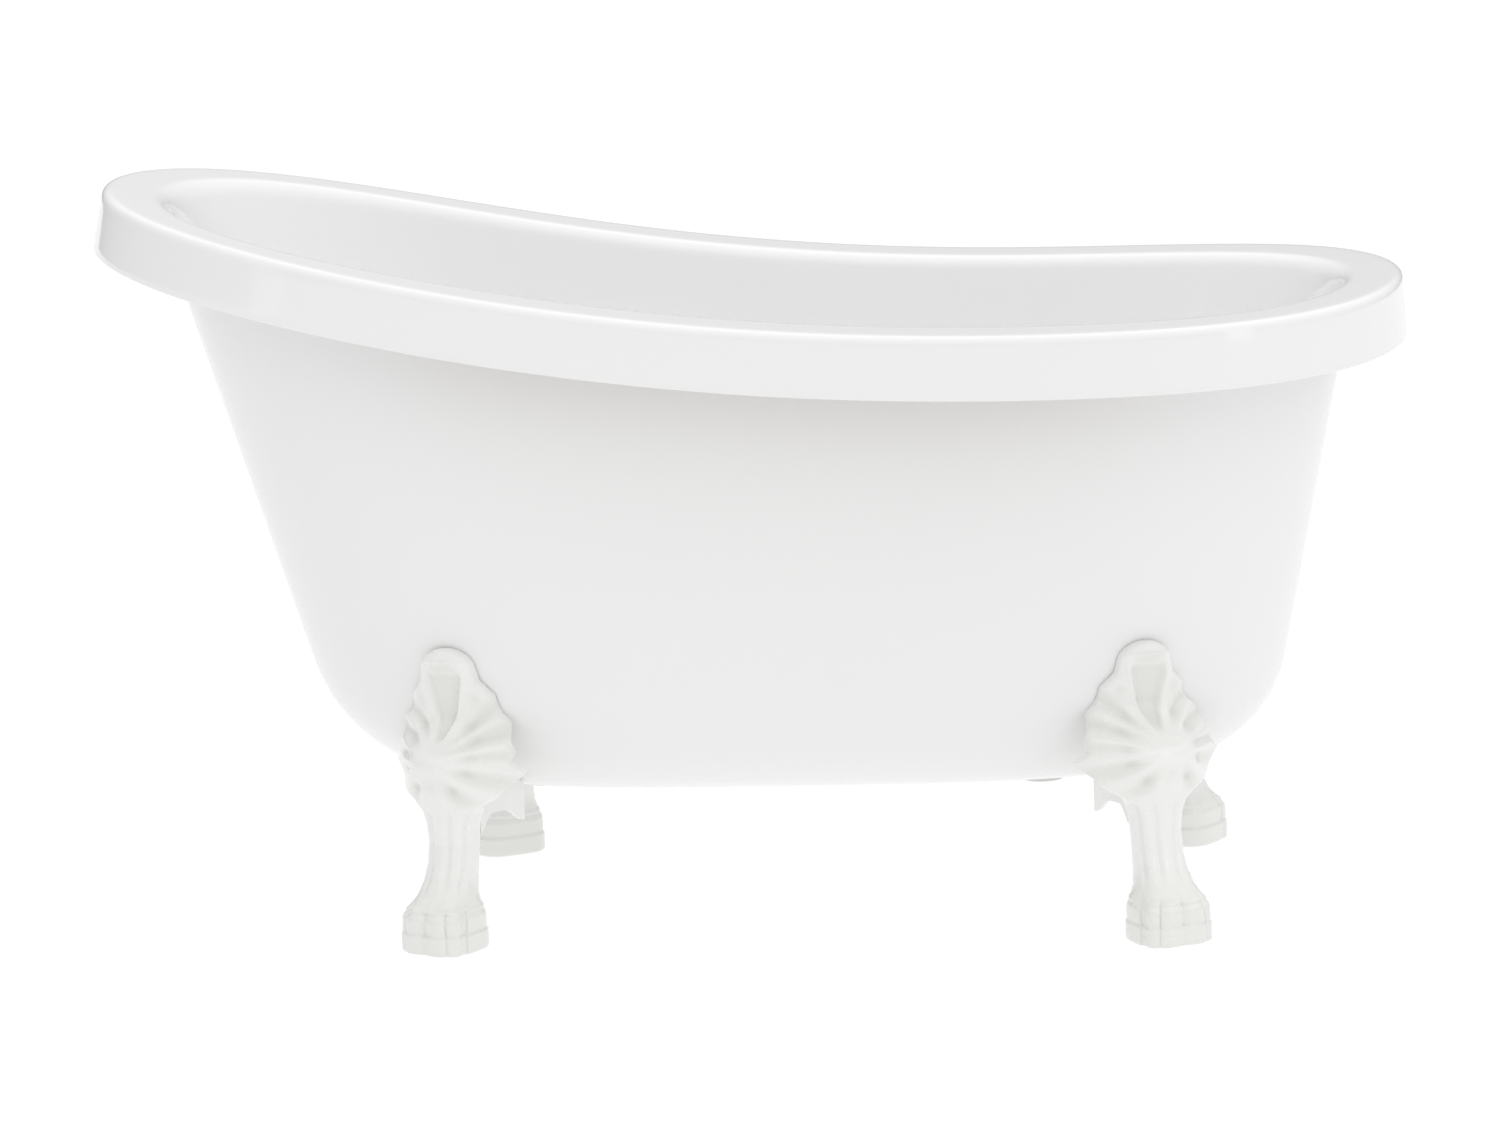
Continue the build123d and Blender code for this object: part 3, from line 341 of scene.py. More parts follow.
rim_corner = rim_ring(0.0)
wall_corner = wall_ring(BASIN, 1.0)
wall_height = float(np.mean(wall_corner[:, 2] - BASIN_FLOOR))
apron_top = rim_ring(OUTER_ROLL)
deck_out = deck_ring(rim_corner, wall_corner, OUTER_ROLL)
deck_in = deck_ring(wall_corner, rim_corner, INNER_ROLL)
roll_share = 1.0 - INNER_ROLL / wall_height
wall_top = wall_ring(BASIN, roll_share)
lip_out, lip_in = rim_ring(APRON_DEPTH - LIP_ROLL), rim_ring(APRON_DEPTH - LIP_ROLL, APRON_THICK)
lip_mid = rim_ring(APRON_DEPTH, 0.5 * APRON_THICK)

shell_rings = [rim_ring(d) for d in (APRON_DEPTH - LIP_ROLL, 0.0600, 0.0440, 0.0280, 0.0180)]
shell_rings += rolled(apron_top, rim_corner, deck_out, 8)
shell_rings += [deck_out + (deck_in - deck_out) * s for s in (0.2, 0.4, 0.6, 0.8)]
for ring in shell_rings[-4:]:
    ring[:, 2] = sheer(ring[:, 0])
shell_rings += rolled(deck_in, wall_corner, wall_top, 9)
wall_shares = list(np.linspace(roll_share, 0.30, 13)[1:]) + list(np.linspace(0.30, 0.0, 15)[1:])
wall_shares = wall_shares[:-1] + [0.012, 0.006, 0.002, 0.0]
shell_rings += [wall_ring(BASIN, s) for s in wall_shares]
shell_rings += hole_rings(shell_rings[-1], WASTE_X, WASTE_HOLE, 7)[::-1]
back_floor = wall_ring(BASIN, 0.0, -BASIN_WALL)
shell_rings += hole_rings(back_floor, WASTE_X, WASTE_HOLE, 4)
back_top = 1.0 - DECK_THICK / wall_height
shell_rings += [wall_ring(BASIN, s, -BASIN_WALL) for s in (0.0, 0.01, 0.03, 0.06, 0.12, 0.2, 0.35, 0.6, 0.8)]
shell_rings.append(wall_ring(BASIN, back_top, -BASIN_WALL))
apron_inside = [rim_ring(d, APRON_THICK) for d in (DECK_THICK, 0.0300, 0.0500)]
under = 0.5 * (shell_rings[-1] + apron_inside[0])
shell_rings.append(under)
shell_rings += apron_inside
shell_rings += rolled(lip_in, rim_ring(APRON_DEPTH, APRON_THICK), lip_mid, 3)
shell_rings += rolled(lip_mid, rim_ring(APRON_DEPTH), lip_out, 3)[1:]

inner_shell = loft("inner_shell_skin", shell_rings, joined=True)
lean = math.atan(OVERFLOW_SLOPE)
overflow_axis = Vector((-math.cos(lean), 0.0, math.sin(lean)))
overflow_z = FOOT_TOP - OVERFLOW_DEPTH
overflow_x = WIDEST_X + wall_reach(BASIN["foot"], BASIN_FLOOR, overflow_z, 0.0)
overflow_place = Vector((overflow_x, 0.0, overflow_z))
pad_place = overflow_place - overflow_axis * PAD_SINK
cut(inner_shell, rod(pad_place, overflow_axis, OVERFLOW_PAD, PAD_THICK, 96), "UNION")
cut(inner_shell, rod(overflow_place, overflow_axis, OVERFLOW_HOLE, HOLE_REACH))
settle(inner_shell, 0.5)


def group_of(name, inputs, outputs):
    """An empty shader node group with named number or colour sockets."""
    made = bpy.data.node_groups.new(name, "ShaderNodeTree")
    for label, kind, value in inputs:
        socket = made.interface.new_socket(label, in_out="INPUT", socket_type=kind)
        if value is not None:
            socket.default_value = value
    for label, kind in outputs:
        made.interface.new_socket(label, in_out="OUTPUT", socket_type=kind)
    return made, made.nodes.new("NodeGroupInput"), made.nodes.new("NodeGroupOutput")


def surface_group():
    """Colour that drifts by a few parts in a hundred, uneven polish and a fine uneven skin."""
    inputs = (
        ("Colour", "NodeSocketColor", (0.8, 0.8, 0.8, 1.0)),
        ("Deeper Colour", "NodeSocketColor", (0.7, 0.7, 0.7, 1.0)),
        ("Cloud Scale", "NodeSocketFloat", 3.0),
        ("Skin Scale", "NodeSocketFloat", 300.0),
        ("Skin Height", "NodeSocketFloat", 0.00002),
        ("Roughness Low", "NodeSocketFloat", 0.1),
        ("Roughness High", "NodeSocketFloat", 0.2),
    )
    outputs = (
        ("Colour", "NodeSocketColor"),
        ("Roughness", "NodeSocketFloat"),
        ("Normal", "NodeSocketVector"),
    )
    tree, source, result = group_of("finish_surface", inputs, outputs)
    add, join = tree.nodes.new, tree.links.new
    place = add("ShaderNodeTexCoord")
    cloud = add("ShaderNodeTexNoise")
    cloud.inputs["Detail"].default_value = 3.0
    join(place.outputs["Object"], cloud.inputs["Vector"])
    join(source.outputs["Cloud Scale"], cloud.inputs["Scale"])
    spread = add("ShaderNodeMapRange")
    spread.inputs["From Min"].default_value = 0.3
    spread.inputs["From Max"].default_value = 0.7
    join(cloud.outputs["Fac"], spread.inputs["Value"])
    mix = add("ShaderNodeMix")
    mix.data_type = "RGBA"
    join(spread.outputs["Result"], mix.inputs[0])
    join(source.outputs["Colour"], mix.inputs[6])
    join(source.outputs["Deeper Colour"], mix.inputs[7])
    join(mix.outputs[2], result.inputs["Colour"])
    polish = add("ShaderNodeMapRange")
    join(cloud.outputs["Fac"], polish.inputs["Value"])
    polish.inputs["From Min"].default_value = 0.35
    polish.inputs["From Max"].default_value = 0.65
    join(source.outputs["Roughness Low"], polish.inputs["To Min"])
    join(source.outputs["Roughness High"], polish.inputs["To Max"])
    join(polish.outputs["Result"], result.inputs["Roughness"])
    grain = add("ShaderNodeTexNoise")
    grain.inputs["Detail"].default_value = 4.0
    join(place.outputs["Object"], grain.inputs["Vector"])
    join(source.outputs["Skin Scale"], grain.inputs["Scale"])
    bump = add("ShaderNodeBump")
    bump.inputs["Strength"].default_value = 1.0
    join(grain.outputs["Fac"], bump.inputs["Height"])
    join(source.outputs["Skin Height"], bump.inputs["Distance"])
    join(bump.outputs["Normal"], result.inputs["Normal"])
    return tree


FINISH = surface_group()


def finish_node(nodes, links, shader, values):
    """Puts the shared surface effect in front of a shader, with this finish's values."""
    effect = nodes.new("ShaderNodeGroup")
    effect.node_tree = FINISH
    for label, value in values.items():
        effect.inputs[label].default_value = value
    links.new(effect.outputs["Colour"], shader.inputs["Base Color"])
    links.new(effect.outputs["Roughness"], shader.inputs["Roughness"])
    links.new(effect.outputs["Normal"], shader.inputs["Normal"])
    return effect


acrylic, nodes, links, shader = fresh_material("white_acrylic_sheet")
finish_node(nodes, links, shader, {
    "Colour": (0.880, 0.880, 0.878, 1.0),
    "Deeper Colour": (0.872, 0.873, 0.872, 1.0),
    "Cloud Scale": 2.2,
    "Skin Scale": 60.0,
    "Skin Height": 0.00006,
    "Roughness Low": 0.05,
    "Roughness High": 0.09,
})
shader.inputs["IOR"].default_value = 1.49
shader.inputs["Specular IOR Level"].default_value = 0.40

inner_shell.data.materials.clear()
inner_shell.data.materials.append(acrylic)
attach(inner_shell, "bath")
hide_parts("inner_shell")


# ---- Outer shell
# A second acrylic skin that hangs under the deck and hides the timber. It is glued to the
# deck at its top, and has a hole for the waste's tail and one for each foot's stud.
SKIN_THICK, BODY_BOTTOM = 0.0060, 0.1570
BODY_MARGINS = (0.0200, 0.0160, 0.0150)
TAIL_HOLE, STUD_HOLE, STUD_HOLE_REACH = 0.0259, 0.0055, 0.0500
DECK_GLUE = 0.0003
BODY = {
    "head": (BASIN["head"][0] + BODY_MARGINS[0], HEAD_TOP, 0.29, 0.195),
    "foot": (BASIN["foot"][0] + BODY_MARGINS[1], FOOT_TOP, 0.205, 0.148),
    "side": (BASIN["side"][0] + BODY_MARGINS[2], RIM_LOW, 0.10, 0.110),
    "floor": BODY_BOTTOM,
    "powers": (3.6, 6.0),
}
FOOT_PLACES = {
    "head_front": (-0.333, -0.232, -1.0, -1.0),
    "head_back": (-0.333, 0.232, -1.0, 1.0),
    "toe_front": (0.460, -0.232, 1.0, -1.0),
    "toe_back": (0.460, 0.232, 1.0, 1.0),
}
SPLAY = math.radians(30.0)
STUD_INSET = 0.062


def skin_height(x, y, inset=0.0):
    """Height at which the outer skin passes over a point of the plan."""
    low_share, high_share = 0.0, 1.0
    for _ in range(30):
        share = 0.5 * (low_share + high_share)
        (head, foot, half), power = reaches(BODY, share, inset)
        reach = foot if x >= WIDEST_X else head
        if abs((x - WIDEST_X) / reach) ** power + (y / half) ** 2 < 1.0:
            high_share = share
        else:
            low_share = share
    side = "foot" if x >= WIDEST_X else "head"
    top_x = WIDEST_X + (x - WIDEST_X) * BODY[side][0] / reach
    low = BODY_BOTTOM + inset
    return low + share * (float(sheer(np.array(top_x))) - low)


skin_top = 1.0 - (DECK_THICK + DECK_GLUE) / wall_height
skin_shares = [0.0, 0.002, 0.006, 0.012, 0.02, 0.03, 0.045, 0.06, 0.08, 0.1, 0.125, 0.15, 0.18, 0.21, 0.25]
skin_shares += list(np.linspace(0.25, skin_top, 15)[1:])
outside = [wall_ring(BODY, s) for s in skin_shares]
inside = [wall_ring(BODY, s, SKIN_THICK) for s in skin_shares]
body_rings = outside + inside[::-1]
body_rings += hole_rings(inside[0], WASTE_X, TAIL_HOLE, 5)[::-1]
body_rings += hole_rings(outside[0], WASTE_X, TAIL_HOLE, 5)
body_rings.append(outside[0])
outer_shell = loft("outer_shell_skin", body_rings, joined=True)
for x, y, end, side in FOOT_PLACES.values():
    stud_x = x - end * STUD_INSET * math.sin(SPLAY)
    stud_y = y - side * STUD_INSET * math.cos(SPLAY)
    stud_z = skin_height(stud_x, stud_y)
    cut(outer_shell, rod((stud_x, stud_y, stud_z), (0.0, 0.0, 1.0), STUD_HOLE, STUD_HOLE_REACH, 32))
settle(outer_shell, 0.5)
outer_shell.data.materials.clear()
outer_shell.data.materials.append(acrylic)
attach(outer_shell, "bath")
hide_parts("outer_shell")


# ---- Lion-paw feet
# Each foot is a hollow casting with a white coat: four toes on a plinth, a fluted shin and an
# acanthus leaf that lies against the skin. A stud through its rear shelf pulls it up tight.
LEAF_GAP = 0.0020
LEAF_EDGE = (
    (0.1500, 0.0330), (0.1560, 0.0380), (0.1620, 0.0450), (0.1710, 0.0590), (0.1840, 0.0700),
    (0.1960, 0.0840), (0.2050, 0.0900), (0.2130, 0.0800), (0.2180, 0.0770), (0.2280, 0.0800),
    (0.2380, 0.0720), (0.2450, 0.0690), (0.2600, 0.0650), (0.2700, 0.0540), (0.2790, 0.0500),
    (0.2940, 0.0470), (0.3040, 0.0380), (0.3120, 0.0320), (0.3230, 0.0300), (0.3340, 0.0280),
    (0.3430, 0.0220), (0.3490, 0.0130), (0.3520, 0.0040),
)
# the leaf above its waist is shorter where the tub's end curves in more
LEAF_TIP_SHARE = {"head": 0.935, "toe": 0.885}
LEAF_WAIST = 0.2000
SHELF_HALF, SHELF_WALL, SHELF_ROOF = 0.0290, 0.0050, 0.0070
SHELF_TOP, SHELF_GAP = 0.2150, 0.0022
LEVELLER_FORWARD = 0.0096
SCREW_BORE, SCREW_TOP = 0.0064, 0.0380
PAD_POCKET, PAD_POCKET_TOP = 0.0186, 0.0078
VEIN_FOCUS = 0.2220
VEIN_TURNS = (90.0, 62.0, 38.0, 12.0, -8.0, -38.0, -76.0)
FRONT_POINTS, BACK_POINTS = 112, 40
# height, half depth, half width, how far forward, and roundness of each section of the leg
LEG_SECTIONS = (
    (0.000, 0.0405, 0.0415, 0.0230, 3.2), (0.002, 0.0420, 0.0430, 0.0230, 3.2),
    (0.021, 0.0420, 0.0430, 0.0230, 3.2), (0.0235, 0.0402, 0.0412, 0.0230, 3.1),
    (0.026, 0.0412, 0.0422, 0.0230, 3.0), (0.040, 0.0415, 0.0425, 0.0225, 2.8),
    (0.0455, 0.0385, 0.0400, 0.0215, 2.7), (0.0485, 0.0395, 0.0400, 0.0210, 2.6),
    (0.053, 0.0360, 0.0372, 0.0190, 2.5), (0.062, 0.0315, 0.0335, 0.0150, 2.4),
    (0.076, 0.0290, 0.0305, 0.0090, 2.3), (0.095, 0.0272, 0.0290, 0.0035, 2.2),
    (0.120, 0.0262, 0.0290, 0.0000, 2.2), (0.140, 0.0268, 0.0310, 0.0000, 2.2),
    (0.155, 0.0280, 0.0360, 0.0000, 2.2), (0.175, 0.0290, 0.0500, 0.0000, 2.2),
    (0.400, 0.0290, 0.0500, 0.0000, 2.2),
)


def smooth(low, high, value):
    """Goes from 0 to 1 between two values with no corner."""
    share = np.clip((value - low) / (high - low), 0.0, 1.0)
    return share * share * (3.0 - 2.0 * share)


def leaf_half(z):
    """Half width of the leaf's lobed outline at a height."""
    heights, halves = zip(*LEAF_EDGE)
    return np.interp(z, heights, halves)


def leaf_carving(v, z):
    """Thickness of the leaf at a place of its front, and how deep that place is carved."""
    side = np.abs(v)
    half = leaf_half(z)
    out = np.clip(side / half, 0.0, 1.0)
    thick = 0.0060 + 0.0125 * np.sqrt(np.clip(1.0 - out**2, 0.0, 1.0))
    thick *= 0.35 + 0.65 * np.sqrt(np.clip((0.3525 - z) / 0.0165, 0.0, 1.0))
    across_top = np.exp(-((v / 0.0210) ** 4))
    thick += 0.0028 * np.exp(-(((z - 0.3370) / 0.0022) ** 2)) * across_top
    under_hood = np.exp(-(((z - 0.3285) / 0.0045) ** 2)) * np.exp(-((v / 0.0170) ** 4))
    channel = 0.0200 * np.clip((z - 0.2380) / 0.0780, 0.0, 1.0) ** 0.6
    open_top = smooth(0.3290, 0.3140, z)
    in_channel = open_top * smooth(1.15, 0.75, side / np.maximum(channel, 0.0015)) * smooth(0.2370, 0.2480, z)
    rim = np.exp(-(((side - 1.12 * channel) / 0.0026) ** 2)) * open_top * smooth(0.2400, 0.2520, z)
    away = np.hypot(side, z - VEIN_FOCUS)
    angle = np.degrees(np.arctan2(z - VEIN_FOCUS, side))
    valley = np.zeros_like(angle)
    pits = np.zeros_like(angle)
    for high_turn, low_turn in zip(VEIN_TURNS[1:], VEIN_TURNS[2:]):
        share = np.clip((high_turn - angle) / (high_turn - low_turn), 0.0, 1.0)
        reach = min((high_turn - low_turn) / 26.0, 1.0)
        valley = valley + reach * np.sin(np.pi * share) ** 2
        middle = math.radians(0.5 * (high_turn + low_turn))
        pit_v, pit_z = 0.0440 * math.cos(middle), VEIN_FOCUS + 0.0440 * math.sin(middle)
        distance = np.hypot(side - pit_v, z - pit_z)
        pits = pits + reach * np.exp(-((distance / 0.0060) ** 2))
    valley = valley * smooth(0.0180, 0.0500, away) * smooth(0.3200, 0.3020, z) * smooth(0.1560, 0.1740, z)
    upper = smooth(0.3160, 0.3040, z) * smooth(0.2400, 0.2620, z)
    upper_eye = np.exp(-(((side - 0.0310) / 0.0065) ** 2)) * np.exp(-(((z - 0.2880) / 0.0120) ** 2)) * upper
    dimple = np.exp(-(((z - 0.1900) / 0.0100) ** 2)) * np.exp(-((v / 0.0110) ** 2))
    carved = 0.0030 * under_hood + 0.0050 * in_channel + 0.0052 * valley + 0.0026 * pits
    carved = carved + 0.0030 * upper_eye + 0.0022 * dimple
    thick = thick + 0.0016 * rim - np.minimum(carved, thick - 0.0030)
    return thick, carved / 0.0080


def leg_section(z, turns, profile=LEG_SECTIONS):
    """Outward and sideways place round the leg at a height, toes and flutes included."""
    heights = [row[0] for row in profile]
    depth, width, forward, power = (np.interp(z, heights, [row[k] for row in profile]) for k in (1, 2, 3, 4))
    c, s = np.cos(turns), np.sin(turns)
    u = depth * np.sign(c) * np.abs(c) ** (2.0 / power)
    v = width * np.sign(s) * np.abs(s) ** (2.0 / power)
    degrees = np.degrees(np.arctan2(s, c))
    toe_share = np.mod(degrees + 68.0, 34.0) / 34.0
    toe = (np.abs(degrees) < 68.0) * np.sin(np.pi * toe_share) ** 0.45
    toe_size = 0.0048 * smooth(0.0600, 0.0440, z)
    if z < 0.0225:
        toe_size *= 0.75
    grooves = sum(np.exp(-(((degrees - at) / 8.5) ** 2)) for at in (-66.0, -24.0, 20.0, 62.0))
    knuckles = 0.5 * smooth(0.0780, 0.0600, z)
    flute = 0.0032 * grooves * smooth(0.0540, 0.0800, z) * smooth(0.1800, 0.1480, z) * (1.0 - knuckles)
    grow = toe_size * (toe - 0.55) * (np.abs(degrees) < 80.0) - flute
    length = np.hypot(u, v)
    return forward + u * (1.0 + grow / length), v * (1.0 + grow / length)


def skin_map(x0, y0, heading):
    """How far out the skin stands behind the leaf, on a grid of sideways places and heights."""
    sides = np.linspace(-0.100, 0.100, 27)
    heights = np.linspace(0.158, 0.356, 34)
    c, s = math.cos(heading), math.sin(heading)
    found = np.full((len(heights), len(sides)), -0.200)
    for row, z in enumerate(heights):
        for column, v in enumerate(sides):
            near, far = -0.200, 0.150
            for _ in range(16):
                u = 0.5 * (near + far)
                x, y = x0 + u * c - v * s, y0 + u * s + v * c
                share = (z - BODY_BOTTOM) / (float(sheer(np.array(x))) - BODY_BOTTOM)
                for _ in range(2):
                    (head, foot, half), power = reaches(BODY, share, 0.0)
                    reach = foot if x >= WIDEST_X else head
                    top = BODY["foot"][0] if x >= WIDEST_X else BODY["head"][0]
                    top_x = WIDEST_X + (x - WIDEST_X) * top / reach
                    share = (z - BODY_BOTTOM) / (float(sheer(np.array(top_x))) - BODY_BOTTOM)
                if abs((x - WIDEST_X) / reach) ** power + (y / half) ** 2 < 1.0:
                    near = u
                else:
                    far = u
            found[row, column] = u
    return sides, heights, found


def skin_out(grid, v, z):
    """Reads the skin's place between the grid's points, at one height."""
    sides, heights, found = grid
    place = np.clip((z - heights[0]) / (heights[1] - heights[0]), 0.0, len(heights) - 1.001)
    row = int(place)
    line = found[row] * (row + 1 - place) + found[row + 1] * (place - row)
    return np.interp(v, sides, line)


def leaf_height(z, tip_share):
    """Height at which a place of the leaf's pattern stands on a foot with a lower tip."""
    return z if z <= LEAF_WAIST else LEAF_WAIST + (z - LEAF_WAIST) * tip_share


def foot_rings(x0, y0, heading, grid, tip_share):
    """Rings of a foot from the levelling screw's pocket up to the leaf's tip."""
    front = np.linspace(-0.5 * math.pi, 0.5 * math.pi, FRONT_POINTS, endpoint=False)
    back = np.linspace(0.5 * math.pi, 1.5 * math.pi, BACK_POINTS, endpoint=False)
    turns = np.concatenate((front, back))
    c, s = math.cos(heading), math.sin(heading)
    rings = []

    def place(u, v, z):
        rings.append(np.stack((x0 + u * c - v * s, y0 + u * s + v * c, np.broadcast_to(z, u.shape)), axis=1))

    bore = ((SCREW_BORE, SCREW_TOP), (SCREW_BORE, PAD_POCKET_TOP))
    pocket = ((PAD_POCKET, PAD_POCKET_TOP), (PAD_POCKET, 0.0))
    for radius, z in bore + pocket:
        place(LEVELLER_FORWARD + radius * np.cos(turns), radius * np.sin(turns), z)
    levels = [0.0, 0.0005, 0.0015, 0.003] + list(np.arange(0.005, 0.0435, 0.002))
    levels += list(np.arange(0.0440, 0.0560, 0.001)) + list(np.arange(0.0570, 0.1500, 0.0025))
    levels += list(np.arange(0.1500, 0.3460, 0.0016)) + list(np.arange(0.3462, 0.3520, 0.0009))
    for z in levels:
        leg_u, leg_v = leg_section(z, turns)
        if z <= 0.148:
            place(leg_u, leg_v, z)
            continue
        half = float(leaf_half(z))
        leaf_v = half * np.sin(turns)
        thick, _ = leaf_carving(leaf_v, np.full_like(leaf_v, z))
        rounded = np.clip(np.abs(np.cos(turns)) / 0.22, 0.0, 1.0) ** 0.6
        stands_at = leaf_height(z, tip_share)
        skin = skin_out(grid, leaf_v, stands_at) + LEAF_GAP
        belly = 0.0120 * np.exp(-(((z - 0.2080) / 0.0300) ** 2)) * np.exp(-((leaf_v / 0.0480) ** 4))
        low_front = 0.0155 - 0.0400 * (leaf_v / 0.090) ** 2 + belly
        on_skin = smooth(0.2180, 0.2760, z)
        bed = skin * on_skin + np.maximum(low_front, skin) * (1.0 - on_skin)
        bed = np.maximum(bed, skin)
        face = bed + thick * rounded
        leg_back = -0.0280 * smooth(0.0520, 0.0260, np.abs(leaf_v)) + bed * smooth(0.0260, 0.0520, np.abs(leaf_v))
        rear = np.maximum(skin, leg_back)
        rear = np.minimum(rear, bed)
        rear = bed + (rear - bed) * np.clip(np.abs(np.cos(turns)) / 0.5, 0.0, 1.0)
        leaf_u = np.where(np.cos(turns) >= 0.0, face, rear)
        share = smooth(0.1480, 0.1780, z)
        u = leg_u * (1.0 - share) + leaf_u * share
        v = leg_v * (1.0 - share) + leaf_v * share
        place(u, v, stands_at)
    return rings


def saddle_rings(x0, y0, heading):
    """Rings of the hollow shelf that runs back from the leg under the bath."""
    c, s = math.cos(heading), math.sin(heading)
    wall = SHELF_WALL
    rings = []
    for u in np.linspace(-0.0200, -0.0940, 16):
        spread = SHELF_HALF * (0.8 + 0.2 * smooth(-0.020, -0.094, u))
        hang = 0.1460 - 0.0180 * smooth(-0.060, -0.094, u) - 0.0200 * smooth(-0.040, -0.020, u)
        across_v = np.linspace(-spread, spread, 7)
        tops = [skin_height(x0 + u * c - v * s, y0 + u * s + v * c) - SHELF_GAP for v in across_v]
        tops = [min(top, SHELF_TOP) for top in tops]
        points = [(v, z) for v, z in zip(across_v, tops)]
        inner_v = np.linspace(spread - wall, -spread + wall, 5)
        inner_top = np.interp(inner_v, across_v, tops) - SHELF_ROOF
        points += [(spread, hang), (spread - wall, hang)]
        points += [(v, max(z, hang + 0.004)) for v, z in zip(inner_v, inner_top)]
        points += [(-spread + wall, hang), (-spread, hang)]
        rings.append(np.array([(x0 + u * c - v * s, y0 + u * s + v * c, z) for v, z in points]))
    return rings


casting, nodes, links, shader = fresh_material("white_coated_casting")
effect = finish_node(nodes, links, shader, {
    "Colour": (0.885, 0.885, 0.868, 1.0),
    "Deeper Colour": (0.872, 0.872, 0.852, 1.0),
    "Cloud Scale": 14.0,
    "Skin Scale": 420.0,
    "Skin Height": 0.00008,
    "Roughness Low": 0.22,
    "Roughness High": 0.34,
})
# Painted shade: the coat's colour is mixed towards a darker grey where the leaf is carved deep, standing in for
# shade in its creases, and also towards the paw's bottom.
hollows = nodes.new("ShaderNodeAttribute")
hollows.attribute_name = "carving"
crease_shade_and_low_darkening = nodes.new("ShaderNodeMix")
crease_shade_and_low_darkening.data_type = "RGBA"
crease_shade_and_low_darkening.inputs[7].default_value = (0.740, 0.740, 0.710, 1.0)
links.new(hollows.outputs["Fac"], crease_shade_and_low_darkening.inputs[0])
links.new(effect.outputs["Colour"], crease_shade_and_low_darkening.inputs[6])
links.new(crease_shade_and_low_darkening.outputs[2], shader.inputs["Base Color"])
shader.inputs["IOR"].default_value = 1.5
shader.inputs["Coat Weight"].default_value = 0.3
shader.inputs["Coat Roughness"].default_value = 0.12


def mark_crease_shade_and_low_darkening(piece, x0, y0, heading, tip_share):
    """Keeps a mask on each point: how deep the leaf's front is carved there, for painted shade in its creases,
    plus a band that darkens the paw towards its bottom.
    """
    spots = np.empty(len(piece.data.vertices) * 3)
    piece.data.vertices.foreach_get("co", spots)
    spots = spots.reshape(-1, 3)
    dx, dy = spots[:, 0] - x0, spots[:, 1] - y0
    v = -dx * math.sin(heading) + dy * math.cos(heading)
    z = np.where(spots[:, 2] > LEAF_WAIST, LEAF_WAIST + (spots[:, 2] - LEAF_WAIST) / tip_share, spots[:, 2])
    _, carved = leaf_carving(v, z)
    # The deeper a crease is carved, the more shade is painted into it; below 0.1 m the paw is also made darker
    # towards its bottom.
    marks = np.clip(carved, 0.0, 1.0) * smooth(0.150, 0.175, z)
    marks = marks + 0.45 * smooth(0.100, 0.050, z)
    layer = piece.data.attributes.new("carving", "FLOAT", "POINT")
    layer.data.foreach_set("value", marks.astype(np.float32))


def mirrored(piece, name):
    """A copy with its own mesh, mirrored to the other side of the bath."""
    copy = bpy.data.objects.new(name, piece.data.copy())
    copy.data.name = name
    bpy.context.collection.objects.link(copy)
    copy.data.transform(Matrix.Scale(-1.0, 4, (0.0, 1.0, 0.0)))
    bpy.ops.object.select_all(action="DESELECT")
    copy.select_set(True)
    bpy.context.view_layer.objects.active = copy
    bpy.ops.object.mode_set(mode="EDIT")
    bpy.ops.mesh.select_all(action="SELECT")
    bpy.ops.mesh.normals_make_consistent(inside=False)
    bpy.ops.object.mode_set(mode="OBJECT")
    return copy


def dress_foot(piece, node):
    piece.data.materials.clear()
    piece.data.materials.append(casting)
    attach(piece, "bath")
    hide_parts(node)


for end_name in ("head", "toe"):
    x0, y0, end, side = FOOT_PLACES[end_name + "_front"]
    heading = math.atan2(side * math.cos(SPLAY), end * math.sin(SPLAY))
    tip_share = LEAF_TIP_SHARE[end_name]
    grid = skin_map(x0, y0, heading)
    paw = loft("lion_foot_" + end_name + "_front", foot_rings(x0, y0, heading, grid, tip_share))
    settle(paw, 0.9)
    mark_crease_shade_and_low_darkening(paw, x0, y0, heading, tip_share)
    shelf = loft("foot_shelf_" + end_name + "_front", saddle_rings(x0, y0, heading))
    settle(shelf, 0.6)
    for piece in (paw, shelf):
        twin = mirrored(piece, piece.name.replace("_front", "_back"))
        dress_foot(piece, "claw_foot_" + end_name + "_front")
        dress_foot(twin, "claw_foot_" + end_name + "_back")


# ---- Metal fittings
# Polished chrome plate on the waste, plug, overflow plate and knob; plain zinc plate on the
# screws, studs and rocker; turned brass in the thread inserts and the knob's spindle.
def plain_finish(name, values, metallic, extra=()):
    """A finish made of the shared surface effect and constant shader values."""
    made, nodes, links, shader = fresh_material(name)
    finish_node(nodes, links, shader, values)
    shader.inputs["Metallic"].default_value = metallic
    for label, value in extra:
        shader.inputs[label].default_value = value
    return made


def values_of(colour, deeper, cloud, skin, depth, smoothest, roughest):
    """Names a finish's seven values for the shared surface effect."""
    labels = ("Colour", "Deeper Colour", "Cloud Scale", "Skin Scale", "Skin Height")
    found = dict(zip(labels, ((*colour, 1.0), (*deeper, 1.0), cloud, skin, depth)))
    found["Roughness Low"], found["Roughness High"] = smoothest, roughest
    return found


chrome = plain_finish("chrome_plate", values_of(
    (0.78, 0.79, 0.80), (0.74, 0.75, 0.77), 30.0, 900.0, 0.000004, 0.05, 0.11), 1.0)
zinc = plain_finish("zinc_plate", values_of(
    (0.60, 0.61, 0.63), (0.50, 0.51, 0.54), 60.0, 1400.0, 0.00003, 0.28, 0.46), 1.0)
brass = plain_finish("turned_brass", values_of(
    (0.78, 0.58, 0.28), (0.62, 0.44, 0.20), 70.0, 1600.0, 0.00002, 0.22, 0.38), 1.0)


def dress(finish, *names):
    """Gives carried-over pieces their finish."""
    for name in names:
        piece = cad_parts[name]
        piece.data.materials.clear()
        piece.data.materials.append(finish)


